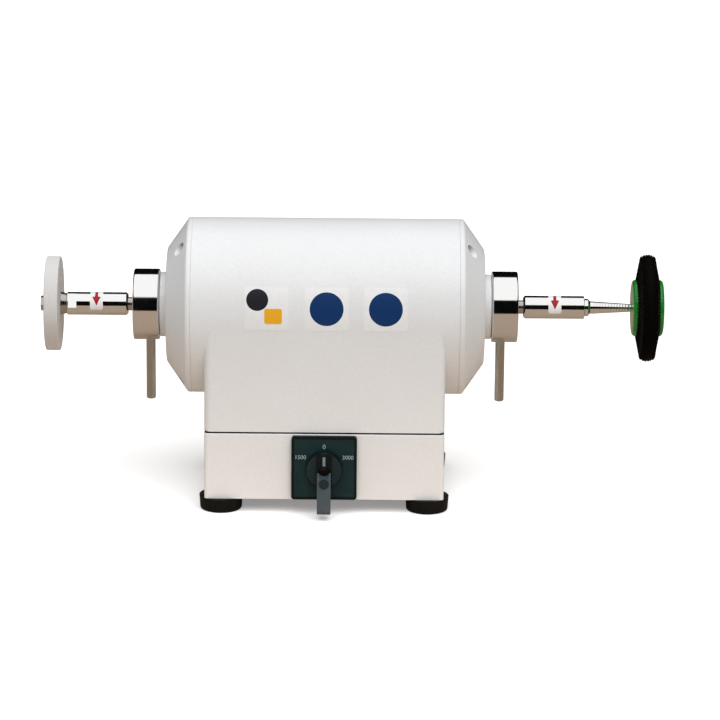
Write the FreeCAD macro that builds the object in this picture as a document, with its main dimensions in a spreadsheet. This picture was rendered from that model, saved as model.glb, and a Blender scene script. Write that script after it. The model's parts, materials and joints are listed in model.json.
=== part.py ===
import FreeCAD, Part
import math
import os
import Sketcher
from FreeCAD import Placement, Rotation, Vector

# Two-ended bench polishing motor for dental work.
# Lengths are in millimetres and angles in degrees. Every piece is drawn in the lathe's frame,
# whose origin is on the spindle axis in the middle of the motor: X runs along the spindle
# to the right, -Y is the front with the switch, and Z is up.
# The placements then move that origin so that the part stands on Z = 0 in the middle of its box.

SIZES = {
    # Fits and cuts
    "running_clearance": 0.05,
    "free_gap": 0.3,
    "cut_overrun": 4.0,
    # Motor housing: barrel with a box-shaped pedestal below it
    "barrel_radius": 65.0,
    "barrel_wall": 4.0,
    "housing_half_length": 98.0,
    "stator_seat_wall": 11.0,
    "stator_seat_margin": 3.0,
    "pedestal_inset": 10.0,
    "pedestal_drop": 79.2,
    "pedestal_wall": 4.0,
    "pedestal_corner_radius": 5.5,
    "pedestal_roof_drop": 22.0,
    "wire_hole_radius": 7.0,
    "wire_hole_inset": 22.0,
    # End bells
    "bell_rim_length": 3.5,
    "bell_cone_length": 15.7,
    "bell_cone_rise": 22.5,
    "bell_edge_radius": 2.5,
    "bell_seam_bevel": 0.5,
    "bell_wall": 4.5,
    "register_bite": 0.5,
    "register_length": 4.0,
    "register_wall": 4.0,
    "bell_boss_step": 5.0,
    "bell_boss_length": 5.5,
    "bell_boss_fillet": 1.2,
    "bearing_hub_wall": 5.0,
    "bearing_seat_lead": 2.0,
    "shaft_wall_length": 3.3,
    "shaft_hole_radius": 12.0,
    "spigot_radius": 19.0,
    "spigot_bore_radius": 15.0,
    "spigot_length": 13.3,
    # Screws that hold the end bells
    "bell_screw_inset": 8.5,
    "bell_screw_angle": 30.0,
    "bell_screw_radius": 2.5,
    "bell_screw_length": 18.0,
    "bell_screw_head_radius": 4.2,
    "bell_screw_head_height": 3.5,
    "bell_screw_key_radius": 2.2,
    "bell_screw_floor": 3.0,
    "bell_pocket_gap": 0.6,
    "bell_lug_margin": 0.5,
    "bell_lug_gap": 2.0,
    # Ball bearings
    "bearing_bore_radius": 8.5,
    "bearing_radius": 20.0,
    "bearing_width": 12.0,
    "bearing_setback": 1.2,
    "bearing_ring_wall_share": 0.285,
    "ball_radius_share": 0.295,
    # Stator and rotor
    "stator_half_length": 45.0,
    "air_gap": 0.5,
    "winding_reach": 23.0,
    "winding_bore_gap": 3.5,
    "winding_seat_gap": 2.0,
    "winding_round_share": 0.35,
    "stator_bore_share": 0.583333,
    "end_ring_inset": 1.0,
    "end_ring_width": 10.0,
    "end_ring_length": 7.0,
    "shaft_core_radius": 12.0,
    "shaft_core_half_length": 60.0,
    "shaft_shoulder_radius": 10.5,
    "shaft_nose_radius": 7.0,
    "shaft_neck_radius": 5.0,
    # Chuck sleeve on each shaft end
    "neck_length": 4.3,
    "neck_thread_length": 9.5,
    "sleeve_radius": 8.5,
    "sleeve_floor": 2.0,
    "sleeve_bevel": 1.4,
    "socket_length": 33.8,
    "socket_mouth_radius": 5.0,
    "socket_floor_radius": 3.9,
    "flat_length": 6.2,
    "flat_setback": 0.9,
    "flat_depth": 2.0,
    "flat_turn": 32.0,
    # Release collar, its lever and the ejector that they work
    "collar_radius": 26.3,
    "collar_end_gap": 2.9,
    "collar_edge_radius": 1.2,
    "collar_web": 3.0,
    "collar_hole_gap": 2.0,
    "lever_offset": 7.0,
    "lever_radius": 3.5,
    "lever_reach": 72.5,
    "lever_end_radius": 1.2,
    "lever_tip_radius": 2.0,
    "lever_swing": 40.0,
    "lever_slot_margin": 10.0,
    "ejector_back_gap": 1.0,
    "ejector_end_wall": 1.1,
    "ejector_wall": 3.65,
    "ejector_flange": 2.0,
    "ejector_flange_gap": 1.0,
    "ejector_slot_clearance": 0.45,
    "ejector_slot_gap": 0.9,
    "eject_travel": 3.0,
    "drift_radius": 2.0,
    "drift_pin_gap": 0.75,
    "drift_slack": 0.2,
    "shank_setback": 0.6,
    # Grinding wheel and its arbor, on the left
    "arbor_flange_length": 4.6,
    "arbor_flange_small_radius": 7.4,
    "arbor_flange_large_radius": 8.5,
    "arbor_bolt_radius": 3.0,
    "wheel_radius": 35.0,
    "wheel_width": 10.3,
    "wheel_edge_radius": 0.9,
    "wheel_nut_across": 10.0,
    "wheel_nut_height": 4.4,
    "nut_bevel": 0.6,
    # Tapered spindle and its brush, on the right
    "spindle_ring_radius": 6.5,
    "spindle_ring_length": 2.5,
    "spindle_root_length": 1.7,
    "spindle_root_radius": 4.7,
    "spindle_taper_length": 31.0,
    "spindle_taper_radius": 2.8,
    "spindle_tip_length": 18.7,
    "spindle_tip_radius": 1.5,
    "hub_radius": 21.0,
    "hub_width": 22.9,
    "hub_edge_radius": 2.6,
    "hub_land": 1.5,
    "bristle_root_radius": 14.0,
    "bristle_radius": 40.0,
    "bristle_tip_half_width": 4.7,
    # Base box under the pedestal
    "gasket_height": 1.2,
    "gasket_inset": 1.6,
    "gasket_width": 6.0,
    "bezel_margin": 1.0,
    "fitting_gap": 1.0,
    "base_wall": 3.0,
    "base_corner_radius": 2.8,
    "base_edge_bevel": 0.8,
    "base_window_side_inset": 42.0,
    "base_window_end_inset": 25.0,
    "base_plate_thickness": 2.0,
    "housing_screw_side_inset": 30.0,
    "housing_screw_inset": 15.0,
    "housing_boss_radius": 7.0,
    "housing_screw_radius": 3.0,
    "housing_screw_length": 20.0,
    "housing_screw_head_radius": 5.0,
    "housing_screw_head_height": 6.0,
    # Rubber feet and their screws
    "foot_radius": 16.0,
    "foot_height": 10.4,
    "foot_overhang": 4.0,
    "foot_edge_radius": 1.5,
    "foot_draft": 0.6,
    "foot_recess_radius": 6.5,
    "foot_recess_depth": 5.0,
    "foot_boss_bite": 1.0,
    "foot_boss_height": 22.0,
    "foot_screw_radius": 2.5,
    "foot_screw_length": 24.0,
    "foot_screw_head_radius": 5.2,
    "foot_screw_head_height": 3.4,
    # Cam switch in the front of the base box
    "bezel_half_width": 24.0,
    "bezel_corner_radius": 2.3,
    "bezel_depth": 4.0,
    "bezel_border": 1.9,
    "bezel_recess": 1.0,
    "face_plate_thickness": 0.8,
    "switch_neck_radius": 11.6,
    "switch_body_inset": 3.2,
    "switch_body_depth": 38.0,
    "switch_shaft_radius": 3.0,
    "switch_shaft_depth": 30.0,
    "dial_radius": 13.5,
    "dial_gap": 0.4,
    "dial_depth": 5.6,
    "dial_edge_radius": 1.2,
    "grip_half_width": 5.7,
    "grip_top": 12.6,
    "grip_low_height": 2.6,
    "grip_high_height": 12.8,
    "grip_step_start": 1.0,
    "grip_step_end": 2.8,
    "tail_half_width": 5.0,
    "tail_reach": 30.4,
    "tail_root_depth": 0.6,
    "tail_end_radius": 3.2,
    "knob_screw_recess_gap": 0.7,
    "knob_screw_recess_depth": 3.4,
    "knob_screw_wall": 1.2,
    "knob_screw_head_radius": 3.2,
    "knob_screw_head_height": 2.0,
    "knob_screw_radius": 1.5,
    "knob_screw_length": 9.0,
    "knob_cap_radius": 3.5,
    "knob_cap_depth": 1.6,
    "knob_cap_drop": 6.6,
    "knob_cap_groove": 0.5,
    # Electrical parts inside the base box
    "capacitor_radius": 15.0,
    "capacitor_length": 55.0,
    "capacitor_front_gap": 2.0,
    "capacitor_side_inset": 43.0,
    "capacitor_lift": 3.0,
    "capacitor_rim": 1.0,
    "clamp_wall": 1.2,
    "clamp_width": 14.0,
    "clamp_tab": 8.0,
    "terminal_length": 30.0,
    "terminal_depth": 14.0,
    "terminal_height": 14.0,
    "terminal_screw_radius": 2.2,
    "terminal_screw_depth": 5.0,
    "earth_side_inset": 22.0,
    "earth_stud_radius": 2.5,
    "earth_stud_length": 14.0,
    "earth_nut_across": 8.0,
    "earth_nut_height": 4.0,
    # Cable gland in the rear of the base box
    "gland_thread_radius": 9.5,
    "gland_thread_length": 11.0,
    "gland_bore_radius": 5.0,
    "gland_hex_across": 24.0,
    "gland_hex_length": 6.0,
    "gland_cap_across": 22.0,
    "gland_cap_length": 9.0,
    "gland_nose_length": 6.0,
    "gland_nose_radius": 7.5,
    "locknut_across": 22.5,
    "locknut_height": 5.0,
}

BELL_SCREW_COUNT = 3
BALL_COUNT = 8
TERMINAL_COUNT = 4
HEXAGON_SIDES = 6

DOC = FreeCAD.newDocument("PolishingLathe")
SHEET = DOC.addObject("Spreadsheet::Sheet", "Sizes")
for row, (alias, number) in enumerate(SIZES.items(), start=1):
    SHEET.set(f"A{row}", alias)
    SHEET.set(f"B{row}", str(number))
    SHEET.setAlias(f"B{row}", alias)
DOC.recompute()


class Size:
    """A value together with the sheet expression that gives it."""

    def __init__(self, value, text):
        self.value = value
        self.text = text

    def __add__(self, other):
        other = as_size(other)
        return Size(self.value + other.value, f"({self.text} + {other.text})")

    def __sub__(self, other):
        other = as_size(other)
        return Size(self.value - other.value, f"({self.text} - {other.text})")

    def __mul__(self, other):
        other = as_size(other)
        return Size(self.value * other.value, f"({self.text} * {other.text})")

    def __truediv__(self, other):
        other = as_size(other)
        return Size(self.value / other.value, f"({self.text} / {other.text})")

    def __neg__(self):
        return Size(-self.value, f"(0 - {self.text})")


def as_size(item):
    """Turns a plain count or share into a Size."""
    return item if isinstance(item, Size) else Size(float(item), repr(float(item)))


def sine(angle):
    return Size(math.sin(math.radians(angle.value)), f"sin({angle.text})")


def cosine(angle):
    return Size(math.cos(math.radians(angle.value)), f"cos({angle.text})")


class Named:
    """Gives every cell of the sheet as an attribute."""

    def __getattr__(self, alias):
        return Size(SIZES[alias], f"Sizes.{alias}")


S = Named()
ZERO = Size(0.0, "0")

# Radii that follow from the barrel, the bearing and the rotor
STATOR_RADIUS = S.barrel_radius - S.stator_seat_wall
BELL_FACE_RADIUS = S.barrel_radius - S.bell_cone_rise
BELL_BOSS_RADIUS = S.spigot_radius + S.bell_boss_step
BELL_SCREW_CIRCLE = S.barrel_radius - S.bell_screw_inset
BELL_LUG_RADIUS = S.bell_screw_inset - S.bell_lug_margin
REGISTER_RADIUS = BELL_SCREW_CIRCLE - BELL_LUG_RADIUS + S.register_bite
BEARING_SECTION = S.bearing_radius - S.bearing_bore_radius
BEARING_RING_WALL = BEARING_SECTION * S.bearing_ring_wall_share
BALL_RADIUS = BEARING_SECTION * S.ball_radius_share
BALL_PITCH_RADIUS = (S.bearing_radius + S.bearing_bore_radius) / 2
STATOR_BORE_RADIUS = STATOR_RADIUS * S.stator_bore_share
ROTOR_RADIUS = STATOR_BORE_RADIUS - S.air_gap
WINDING_INNER_RADIUS = STATOR_BORE_RADIUS + S.winding_bore_gap
WINDING_OUTER_RADIUS = STATOR_RADIUS - S.winding_seat_gap
EJECTOR_BORE_RADIUS = S.spigot_bore_radius - S.ejector_wall
EJECTOR_FLANGE_BORE = S.shaft_nose_radius + S.ejector_flange_gap

# The slanted slot of the ejector: how far the lever's tip runs to each side, and how steep the slot is
SLOT_HALF_WIDTH = S.lever_tip_radius + S.ejector_slot_clearance
SLOT_EXTRA = S.lever_tip_radius + S.ejector_slot_gap
SLOT_HALF_RUN = (S.spigot_bore_radius + EJECTOR_BORE_RADIUS) / 2 * sine(S.lever_swing / 2)
SLOT_SLOPE = S.eject_travel / SLOT_HALF_RUN / 2

# Stations along the spindle, counted outwards from the middle of the motor
SEAM = S.housing_half_length
CONE_START = SEAM + S.bell_rim_length
BELL_FACE = CONE_START + S.bell_cone_length
BOSS_FACE = BELL_FACE + S.bell_boss_length
BEARING_END = BELL_FACE - S.bearing_setback
BEARING_START = BEARING_END - S.bearing_width
SPIGOT_BORE_START = BELL_FACE + S.shaft_wall_length
SPIGOT_END = BOSS_FACE + S.spigot_length
COLLAR_START = BOSS_FACE + S.free_gap
COLLAR_WEB_START = COLLAR_START + S.spigot_length + S.collar_end_gap
COLLAR_END = COLLAR_WEB_START + S.collar_web
SLEEVE_START = COLLAR_END + S.neck_length
SHAFT_END = SLEEVE_START + S.neck_thread_length
SOCKET_START = SHAFT_END + S.sleeve_floor
SLEEVE_END = SOCKET_START + S.socket_length
LEVER_STATION = COLLAR_START + S.lever_offset
EJECTOR_START = SPIGOT_BORE_START + S.ejector_back_gap
EJECTOR_FLANGE_END = EJECTOR_START + S.ejector_flange
EJECTOR_END = LEVER_STATION + SLOT_HALF_WIDTH + SLOT_SLOPE * SLOT_EXTRA + S.ejector_end_wall
PIN_STATION = EJECTOR_FLANGE_END + S.free_gap + S.drift_radius
PIN_SLOT_START = PIN_STATION - S.drift_radius - S.drift_slack
PIN_SLOT_END = PIN_STATION + S.eject_travel + S.drift_radius + S.drift_slack
SHANK_START = SOCKET_START + S.shank_setback
DRIFT_END = SHANK_START - S.free_gap
ARBOR_FLANGE_START = SLEEVE_END + S.free_gap
WHEEL_START = ARBOR_FLANGE_START + S.arbor_flange_length
WHEEL_END = WHEEL_START + S.wheel_width
ARBOR_END = WHEEL_END + S.wheel_nut_height
SPINDLE_RING_END = ARBOR_FLANGE_START + S.spindle_ring_length
SPINDLE_ROOT = SPINDLE_RING_END + S.spindle_root_length
HUB_START = SPINDLE_ROOT + S.spindle_taper_length
HUB_END = HUB_START + S.hub_width
HUB_MIDDLE = HUB_START + S.hub_width / 2
SPINDLE_TIP = HUB_START + S.spindle_tip_length

# Levels below the spindle axis: the base is as high as its switch needs
PEDESTAL_BOTTOM = -S.pedestal_drop
BASE_TOP = PEDESTAL_BOTTOM - S.gasket_height
BASE_MIDDLE = BASE_TOP - S.bezel_margin - S.bezel_half_width
BASE_BOTTOM = BASE_MIDDLE - S.bezel_half_width - S.bezel_margin
BASE_CEILING = BASE_TOP - S.base_wall
PLATE_TOP = BASE_BOTTOM + S.base_plate_thickness
AXIS_HEIGHT = S.foot_height - BASE_BOTTOM

# Depths in front of and behind the spindle axis
FRONT = -S.barrel_radius
REAR = S.barrel_radius
BASE_INNER_REAR = REAR - S.base_wall
BEZEL_FRONT = FRONT - S.bezel_depth
FACE_PLATE_BACK = BEZEL_FRONT + S.bezel_recess
FACE_PLATE_FRONT = FACE_PLATE_BACK - S.face_plate_thickness
DIAL_BACK = FACE_PLATE_FRONT - S.dial_gap
DIAL_FRONT = DIAL_BACK - S.dial_depth
GRIP_LOW = DIAL_FRONT - S.grip_low_height
GRIP_HIGH = DIAL_FRONT - S.grip_high_height
GLAND_HEX_END = REAR + S.gland_hex_length
GLAND_CAP_END = GLAND_HEX_END + S.gland_cap_length
GLAND_END = GLAND_CAP_END + S.gland_nose_length

# Distances to the side of the motor's middle, on the pedestal and in the base
PEDESTAL_HALF_WIDTH = S.housing_half_length - S.pedestal_inset
BASE_INNER_SIDE = PEDESTAL_HALF_WIDTH - S.base_wall
FOOT_ACROSS = PEDESTAL_HALF_WIDTH + S.foot_overhang - S.foot_radius
FOOT_DEPTH = S.barrel_radius + S.foot_overhang - S.foot_radius
FOOT_BOSS_RADIUS = S.foot_radius - S.foot_overhang - S.base_wall + S.foot_boss_bite
HOUSING_SCREW_ACROSS = PEDESTAL_HALF_WIDTH - S.housing_screw_side_inset
HOUSING_SCREW_DEPTH = S.barrel_radius - S.housing_screw_inset
LOCKNUT_RADIUS = S.locknut_across / math.sqrt(3)
GLAND_ACROSS = FOOT_ACROSS - FOOT_BOSS_RADIUS - S.fitting_gap - LOCKNUT_RADIUS
TERMINAL_START = LOCKNUT_RADIUS + S.fitting_gap - GLAND_ACROSS
CAPACITOR_ACROSS = PEDESTAL_HALF_WIDTH - S.capacitor_side_inset
CAPACITOR_LEVEL = PLATE_TOP + S.capacitor_lift + S.clamp_wall + S.capacitor_radius
CAPACITOR_START = FRONT + S.base_wall + S.switch_body_depth + S.capacitor_front_gap

# Where the lathe's frame lies in the part's own frame
SHIFT_X = (ARBOR_END - HUB_END) / 2
SHIFT_Y = -(GLAND_END + GRIP_HIGH) / 2
SHIFT_Z = AXIS_HEIGHT

PARTS = []


def keep(piece, label):
    """Names a finished piece and lists it as one to write."""
    piece.Label = label
    PARTS.append(piece)
    return piece


def bind(thing, prop, size):
    """Ties one property of an object to a size."""
    thing.setExpression(prop, as_size(size).text)


def place(piece, across=ZERO, depth=ZERO, level=ZERO):
    """Puts a piece at a point of the lathe's frame."""
    bind(piece, "Placement.Base.x", SHIFT_X + across)
    bind(piece, "Placement.Base.y", SHIFT_Y + depth)
    bind(piece, "Placement.Base.z", SHIFT_Z + level)


def new_body(name, across=ZERO, depth=ZERO, level=ZERO):
    body = DOC.addObject("PartDesign::Body", name)
    place(body, across, depth, level)
    return body


def origin_item(body, role):
    """One of the body's own origin planes or axes."""
    return [item for item in body.Origin.OriginFeatures if item.Role == role][0]


def circle(across, up, radius):
    return ("circle", as_size(across), as_size(up), radius)


def rectangle(left, right, low, high):
    return [(left, low), (right, low), (right, high), (left, high)]


def rounded_rectangle(half_width, half_depth, corner):
    """A centred rectangle with arcs for corners."""
    inner_width = half_width - corner
    inner_depth = half_depth - corner
    return [
        (-inner_width, -half_depth, corner, "left"),
        (inner_width, -half_depth),
        (half_width, -inner_depth, corner, "left"),
        (half_width, inner_depth),
        (inner_width, half_depth, corner, "left"),
        (-inner_width, half_depth),
        (-half_width, inner_depth, corner, "left"),
        (-half_width, -inner_depth),
    ]


def hexagon(across_flats, middle=ZERO, level=ZERO):
    """A regular hexagon with two of its corners on the first axis."""
    corner_radius = across_flats / math.sqrt(3)
    corners = []
    for step in range(HEXAGON_SIDES):
        turn = 2 * math.pi * step / HEXAGON_SIDES
        corners.append((corner_radius * math.cos(turn) + middle, corner_radius * math.sin(turn) + level))
    return corners


def four_circles(half_width, half_depth, radius):
    """One circle near each corner of a centred rectangle."""
    return [circle(half_width * x, half_depth * y, radius) for x in (1, -1) for y in (1, -1)]


def arc_between(start, end, radius, turn):
    """The short arc from start to end that turns left or right on its way."""
    chord = end - start
    middle = (start + end) * 0.5
    rise = math.sqrt(max(radius ** 2 - (chord.Length / 2) ** 2, 0))
    side = Vector(-chord.y, chord.x, 0).normalize()
    centre = middle + side * (rise if turn == "left" else -rise)
    first, last = (start, end) if turn == "left" else (end, start)
    first_angle = math.atan2(first.y - centre.y, first.x - centre.x)
    last_angle = math.atan2(last.y - centre.y, last.x - centre.x)
    if last_angle < first_angle:
        last_angle += 2 * math.pi
    return Part.ArcOfCircle(Part.Circle(centre, Vector(0, 0, 1), radius), first_angle, last_angle)


def pin_point(sketch, geometry, vertex, across, up):
    """Fixes one point of a sketch at two sizes."""
    for kind, size in (("DistanceX", across), ("DistanceY", up)):
        size = as_size(size)
        number = sketch.addConstraint(Sketcher.Constraint(kind, -1, 1, geometry, vertex, size.value))
        sketch.setExpression(f"Constraints[{number}]", size.text)


def fix_radius(sketch, geometry, radius):
    number = sketch.addConstraint(Sketcher.Constraint("Radius", geometry, radius.value))
    sketch.setExpression(f"Constraints[{number}]", radius.text)


def draw_circle(sketch, across, up, radius):
    centre = Vector(across.value, up.value, 0)
    geometry = sketch.addGeometry(Part.Circle(centre, Vector(0, 0, 1), radius.value), False)
    pin_point(sketch, geometry, 3, across, up)
    fix_radius(sketch, geometry, radius)


def draw_outline(sketch, outline):
    """Draws a closed outline. A corner is (across, up), with a radius and a turn where an arc arrives."""
    points = [Vector(as_size(corner[0]).value, as_size(corner[1]).value, 0) for corner in outline]
    ends = []
    for index, corner in enumerate(outline):
        if len(corner) == 2:
            edge = sketch.addGeometry(Part.LineSegment(points[index - 1], points[index]), False)
            ends.append((edge, 1, 2))
            continue
        arc = arc_between(points[index - 1], points[index], corner[2].value, corner[3])
        edge = sketch.addGeometry(arc, False)
        ends.append((edge, 1, 2) if corner[3] == "left" else (edge, 2, 1))
    for index, (edge, _, last) in enumerate(ends):
        following, first, _ = ends[(index + 1) % len(ends)]
        sketch.addConstraint(Sketcher.Constraint("Coincident", edge, last, following, first))
        pin_point(sketch, edge, last, outline[index][0], outline[index][1])
        if len(outline[index]) > 2:
            fix_radius(sketch, edge, outline[index][2])


PLANES = {"X": "YZ_Plane", "Y": "XZ_Plane", "Z": "XY_Plane"}


def new_sketch(body, normal, outlines, offset=ZERO, lean=ZERO):
    """A sketch square to an axis of the body, moved along its normal and leaned about -X."""
    sketch = body.newObject("Sketcher::SketchObject", body.Name + "_sketch")
    sketch.AttachmentSupport = (origin_item(body, PLANES[normal]), "")
    sketch.MapMode = "FlatFace"
    if lean is ZERO:
        bind(sketch, "AttachmentOffset.Base.z", offset)
    else:
        sketch.AttachmentOffset = Placement(Vector(0, 0, 0), Rotation(Vector(-1, 0, 0), lean.value))
        bind(sketch, "AttachmentOffset.Rotation.Angle", lean)
        bind(sketch, "AttachmentOffset.Base.y", offset * sine(lean))
        bind(sketch, "AttachmentOffset.Base.z", offset * cosine(lean))
    for outline in outlines:
        if outline[0] == "circle":
            draw_circle(sketch, *outline[1:])
        else:
            draw_outline(sketch, outline)
    DOC.recompute()
    return sketch


def volume(body):
    return 0.0 if body.Shape.isNull() else body.Shape.Volume


def add_feature(body, kind, sketch):
    """Starts a feature on a sketch and gives the body's volume before it."""
    before = volume(body)
    feature = body.newObject(kind, body.Name + "_" + kind.split("::")[1].lower())
    feature.Profile = sketch
    return feature, before


def finish_feature(body, feature, before):
    """Recomputes the body and makes sure that the feature changed it."""
    DOC.recompute()
    if abs(volume(body) - before) < 1e-6 * max(before, 1):
        raise RuntimeError(f"{feature.Name} changes nothing on {body.Name}")
    return feature


def pad(body, normal, outlines, low, high, lean=ZERO):
    """Adds material between two stations on the axis."""
    offset = -high if normal == "Y" else low
    feature, before = add_feature(body, "PartDesign::Pad", new_sketch(body, normal, outlines, offset, lean))
    bind(feature, "Length", high - low)
    return finish_feature(body, feature, before)


def pocket(body, normal, outlines, low, high, lean=ZERO):
    """Cuts between two stations on the axis."""
    offset = -low if normal == "Y" else high
    feature, before = add_feature(body, "PartDesign::Pocket", new_sketch(body, normal, outlines, offset, lean))
    bind(feature, "Length", high - low)
    return finish_feature(body, feature, before)


TURNING = {"X": ("Y", "H_Axis"), "Y": ("X", "H_Axis"), "Z": ("Y", "V_Axis")}


def revolve(body, axis, outlines):
    """Turns outlines about an axis: (station, radius) about X and Y, (radius, level) about Z."""
    normal, line = TURNING[axis]
    sketch = new_sketch(body, normal, outlines)
    feature, before = add_feature(body, "PartDesign::Revolution", sketch)
    feature.ReferenceAxis = (sketch, [line])
    feature.Angle = 360
    return finish_feature(body, feature, before)


def groove(body, axis, outlines, angle=None, lean=ZERO):
    """Cuts by turning outlines about an axis, all the way round or through an angle about their plane."""
    normal, line = TURNING[axis]
    sketch = new_sketch(body, normal, outlines, ZERO, lean)
    feature, before = add_feature(body, "PartDesign::Groove", sketch)
    feature.ReferenceAxis = (sketch, [line])
    feature.Angle = 360
    if angle is not None:
        feature.Midplane = True
        bind(feature, "Angle", angle)
    return finish_feature(body, feature, before)


def repeat_round(body, features, count):
    """Repeats features in a circle about the body's X axis."""
    before = body.Shape.Volume
    pattern = body.newObject("PartDesign::PolarPattern", body.Name + "_pattern")
    pattern.Originals = features
    pattern.Axis = (origin_item(body, "X_Axis"), [""])
    pattern.Angle = 360
    pattern.Occurrences = count
    body.Tip = pattern
    return finish_feature(body, pattern, before)


def repeat_mirrored(body, features, plane):
    """Repeats features on the other side of one of the body's origin planes."""
    before = body.Shape.Volume
    mirrored = body.newObject("PartDesign::Mirrored", body.Name + "_mirrored")
    mirrored.Originals = features
    mirrored.MirrorPlane = (origin_item(body, plane), [""])
    body.Tip = mirrored
    return finish_feature(body, mirrored, before)


def circular_edges(body, station, radius):
    """The edges of the body that are circles of a radius about X at a station."""
    names = []
    for number, edge in enumerate(body.Tip.Shape.Edges, start=1):
        curve = edge.Curve
        if not isinstance(curve, Part.Circle):
            continue
        if abs(curve.Radius - radius.value) < 1e-4 and abs(curve.Center.x - station.value) < 1e-4:
            names.append(f"Edge{number}")
    return names


def dress(body, kind, prop, names, size):
    """Adds a fillet or a chamfer to named edges or faces."""
    if not names:
        raise RuntimeError(f"{body.Name} has no edge for its {kind}")
    before = body.Shape.Volume
    base = body.Tip
    feature = body.newObject("PartDesign::" + kind, body.Name + "_" + kind.lower())
    feature.Base = (base, names)
    bind(feature, prop, size)
    return finish_feature(body, feature, before)


def mirror_piece(source, label):
    """The same piece at the other end of the motor."""
    mirrored = DOC.addObject("Part::Mirroring", label)
    mirrored.Source = source
    mirrored.Normal = Vector(1, 0, 0)
    bind(mirrored, "Base.x", SHIFT_X)
    DOC.recompute()
    return keep(mirrored, label)


def cut_piece(base, tool, label):
    cut = DOC.addObject("Part::Cut", label)
    cut.Base = base
    cut.Tool = tool
    DOC.recompute()
    return keep(cut, label)


def both_ends(piece, name):
    """Keeps a piece as the right one and mirrors it for the left end."""
    keep(piece, "right_" + name)
    mirror_piece(piece, "left_" + name)


def screw_place(circle_radius):
    """Place of the first bell screw: its angle is counted from the top towards the front."""
    return -(circle_radius * sine(S.bell_screw_angle)), circle_radius * cosine(S.bell_screw_angle)


def make_motor_housing():
    body = new_body("motor_housing")
    outer = rounded_rectangle(PEDESTAL_HALF_WIDTH, S.barrel_radius, S.pedestal_corner_radius)
    pad(body, "Z", [outer], PEDESTAL_BOTTOM, ZERO)
    inner = rounded_rectangle(
        PEDESTAL_HALF_WIDTH - S.pedestal_wall,
        S.barrel_radius - S.pedestal_wall,
        S.pedestal_corner_radius - S.pedestal_wall,
    )
    pocket(body, "Z", [inner], PEDESTAL_BOTTOM - S.cut_overrun, -S.pedestal_roof_drop)
    pad(body, "X", [circle(ZERO, ZERO, S.barrel_radius)], -SEAM, SEAM)
    bosses = four_circles(HOUSING_SCREW_ACROSS, HOUSING_SCREW_DEPTH, S.housing_boss_radius)
    pad(body, "Z", bosses, BASE_TOP, -S.pedestal_roof_drop)
    seat = rectangle(-(SEAM + S.cut_overrun), SEAM + S.cut_overrun, ZERO, STATOR_RADIUS)
    groove(body, "X", [seat])
    bore_radius = S.barrel_radius - S.barrel_wall
    seat_end = S.stator_half_length + S.stator_seat_margin
    wide_bore = rectangle(seat_end, SEAM + S.cut_overrun, ZERO, bore_radius)
    bore = groove(body, "X", [wide_bore])
    repeat_mirrored(body, [bore], "YZ_Plane")
    lug_start = S.stator_half_length + S.winding_reach + S.bell_lug_gap
    depth, level = screw_place(BELL_SCREW_CIRCLE)
    lug = pad(body, "X", [circle(depth, level, BELL_LUG_RADIUS)], lug_start, SEAM)
    repeat_round(body, [lug], BELL_SCREW_COUNT)
    left_lug = pad(body, "X", [circle(depth, level, BELL_LUG_RADIUS)], -SEAM, -lug_start)
    repeat_round(body, [left_lug], BELL_SCREW_COUNT)
    register_radius = REGISTER_RADIUS + S.running_clearance
    register = rectangle(seat_end, SEAM + S.cut_overrun, ZERO, register_radius)
    register_bore = groove(body, "X", [register])
    repeat_mirrored(body, [register_bore], "YZ_Plane")
    hole_start = SEAM + S.bell_screw_floor - S.bell_screw_length
    hole = pocket(body, "X", [circle(depth, level, S.bell_screw_radius)], hole_start, SEAM)
    repeat_round(body, [hole], BELL_SCREW_COUNT)
    left_hole = pocket(body, "X", [circle(depth, level, S.bell_screw_radius)], -SEAM, -hole_start)
    repeat_round(body, [left_hole], BELL_SCREW_COUNT)
    screw_top = BASE_CEILING + S.housing_screw_length
    holes = four_circles(HOUSING_SCREW_ACROSS, HOUSING_SCREW_DEPTH, S.housing_screw_radius)
    pocket(body, "Z", holes, BASE_TOP, screw_top)
    wire_hole = circle(S.wire_hole_inset - PEDESTAL_HALF_WIDTH, ZERO, S.wire_hole_radius)
    pocket(body, "Z", [wire_hole], PEDESTAL_BOTTOM, -(bore_radius - S.cut_overrun))
    return keep(body, "motor_housing")


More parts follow.
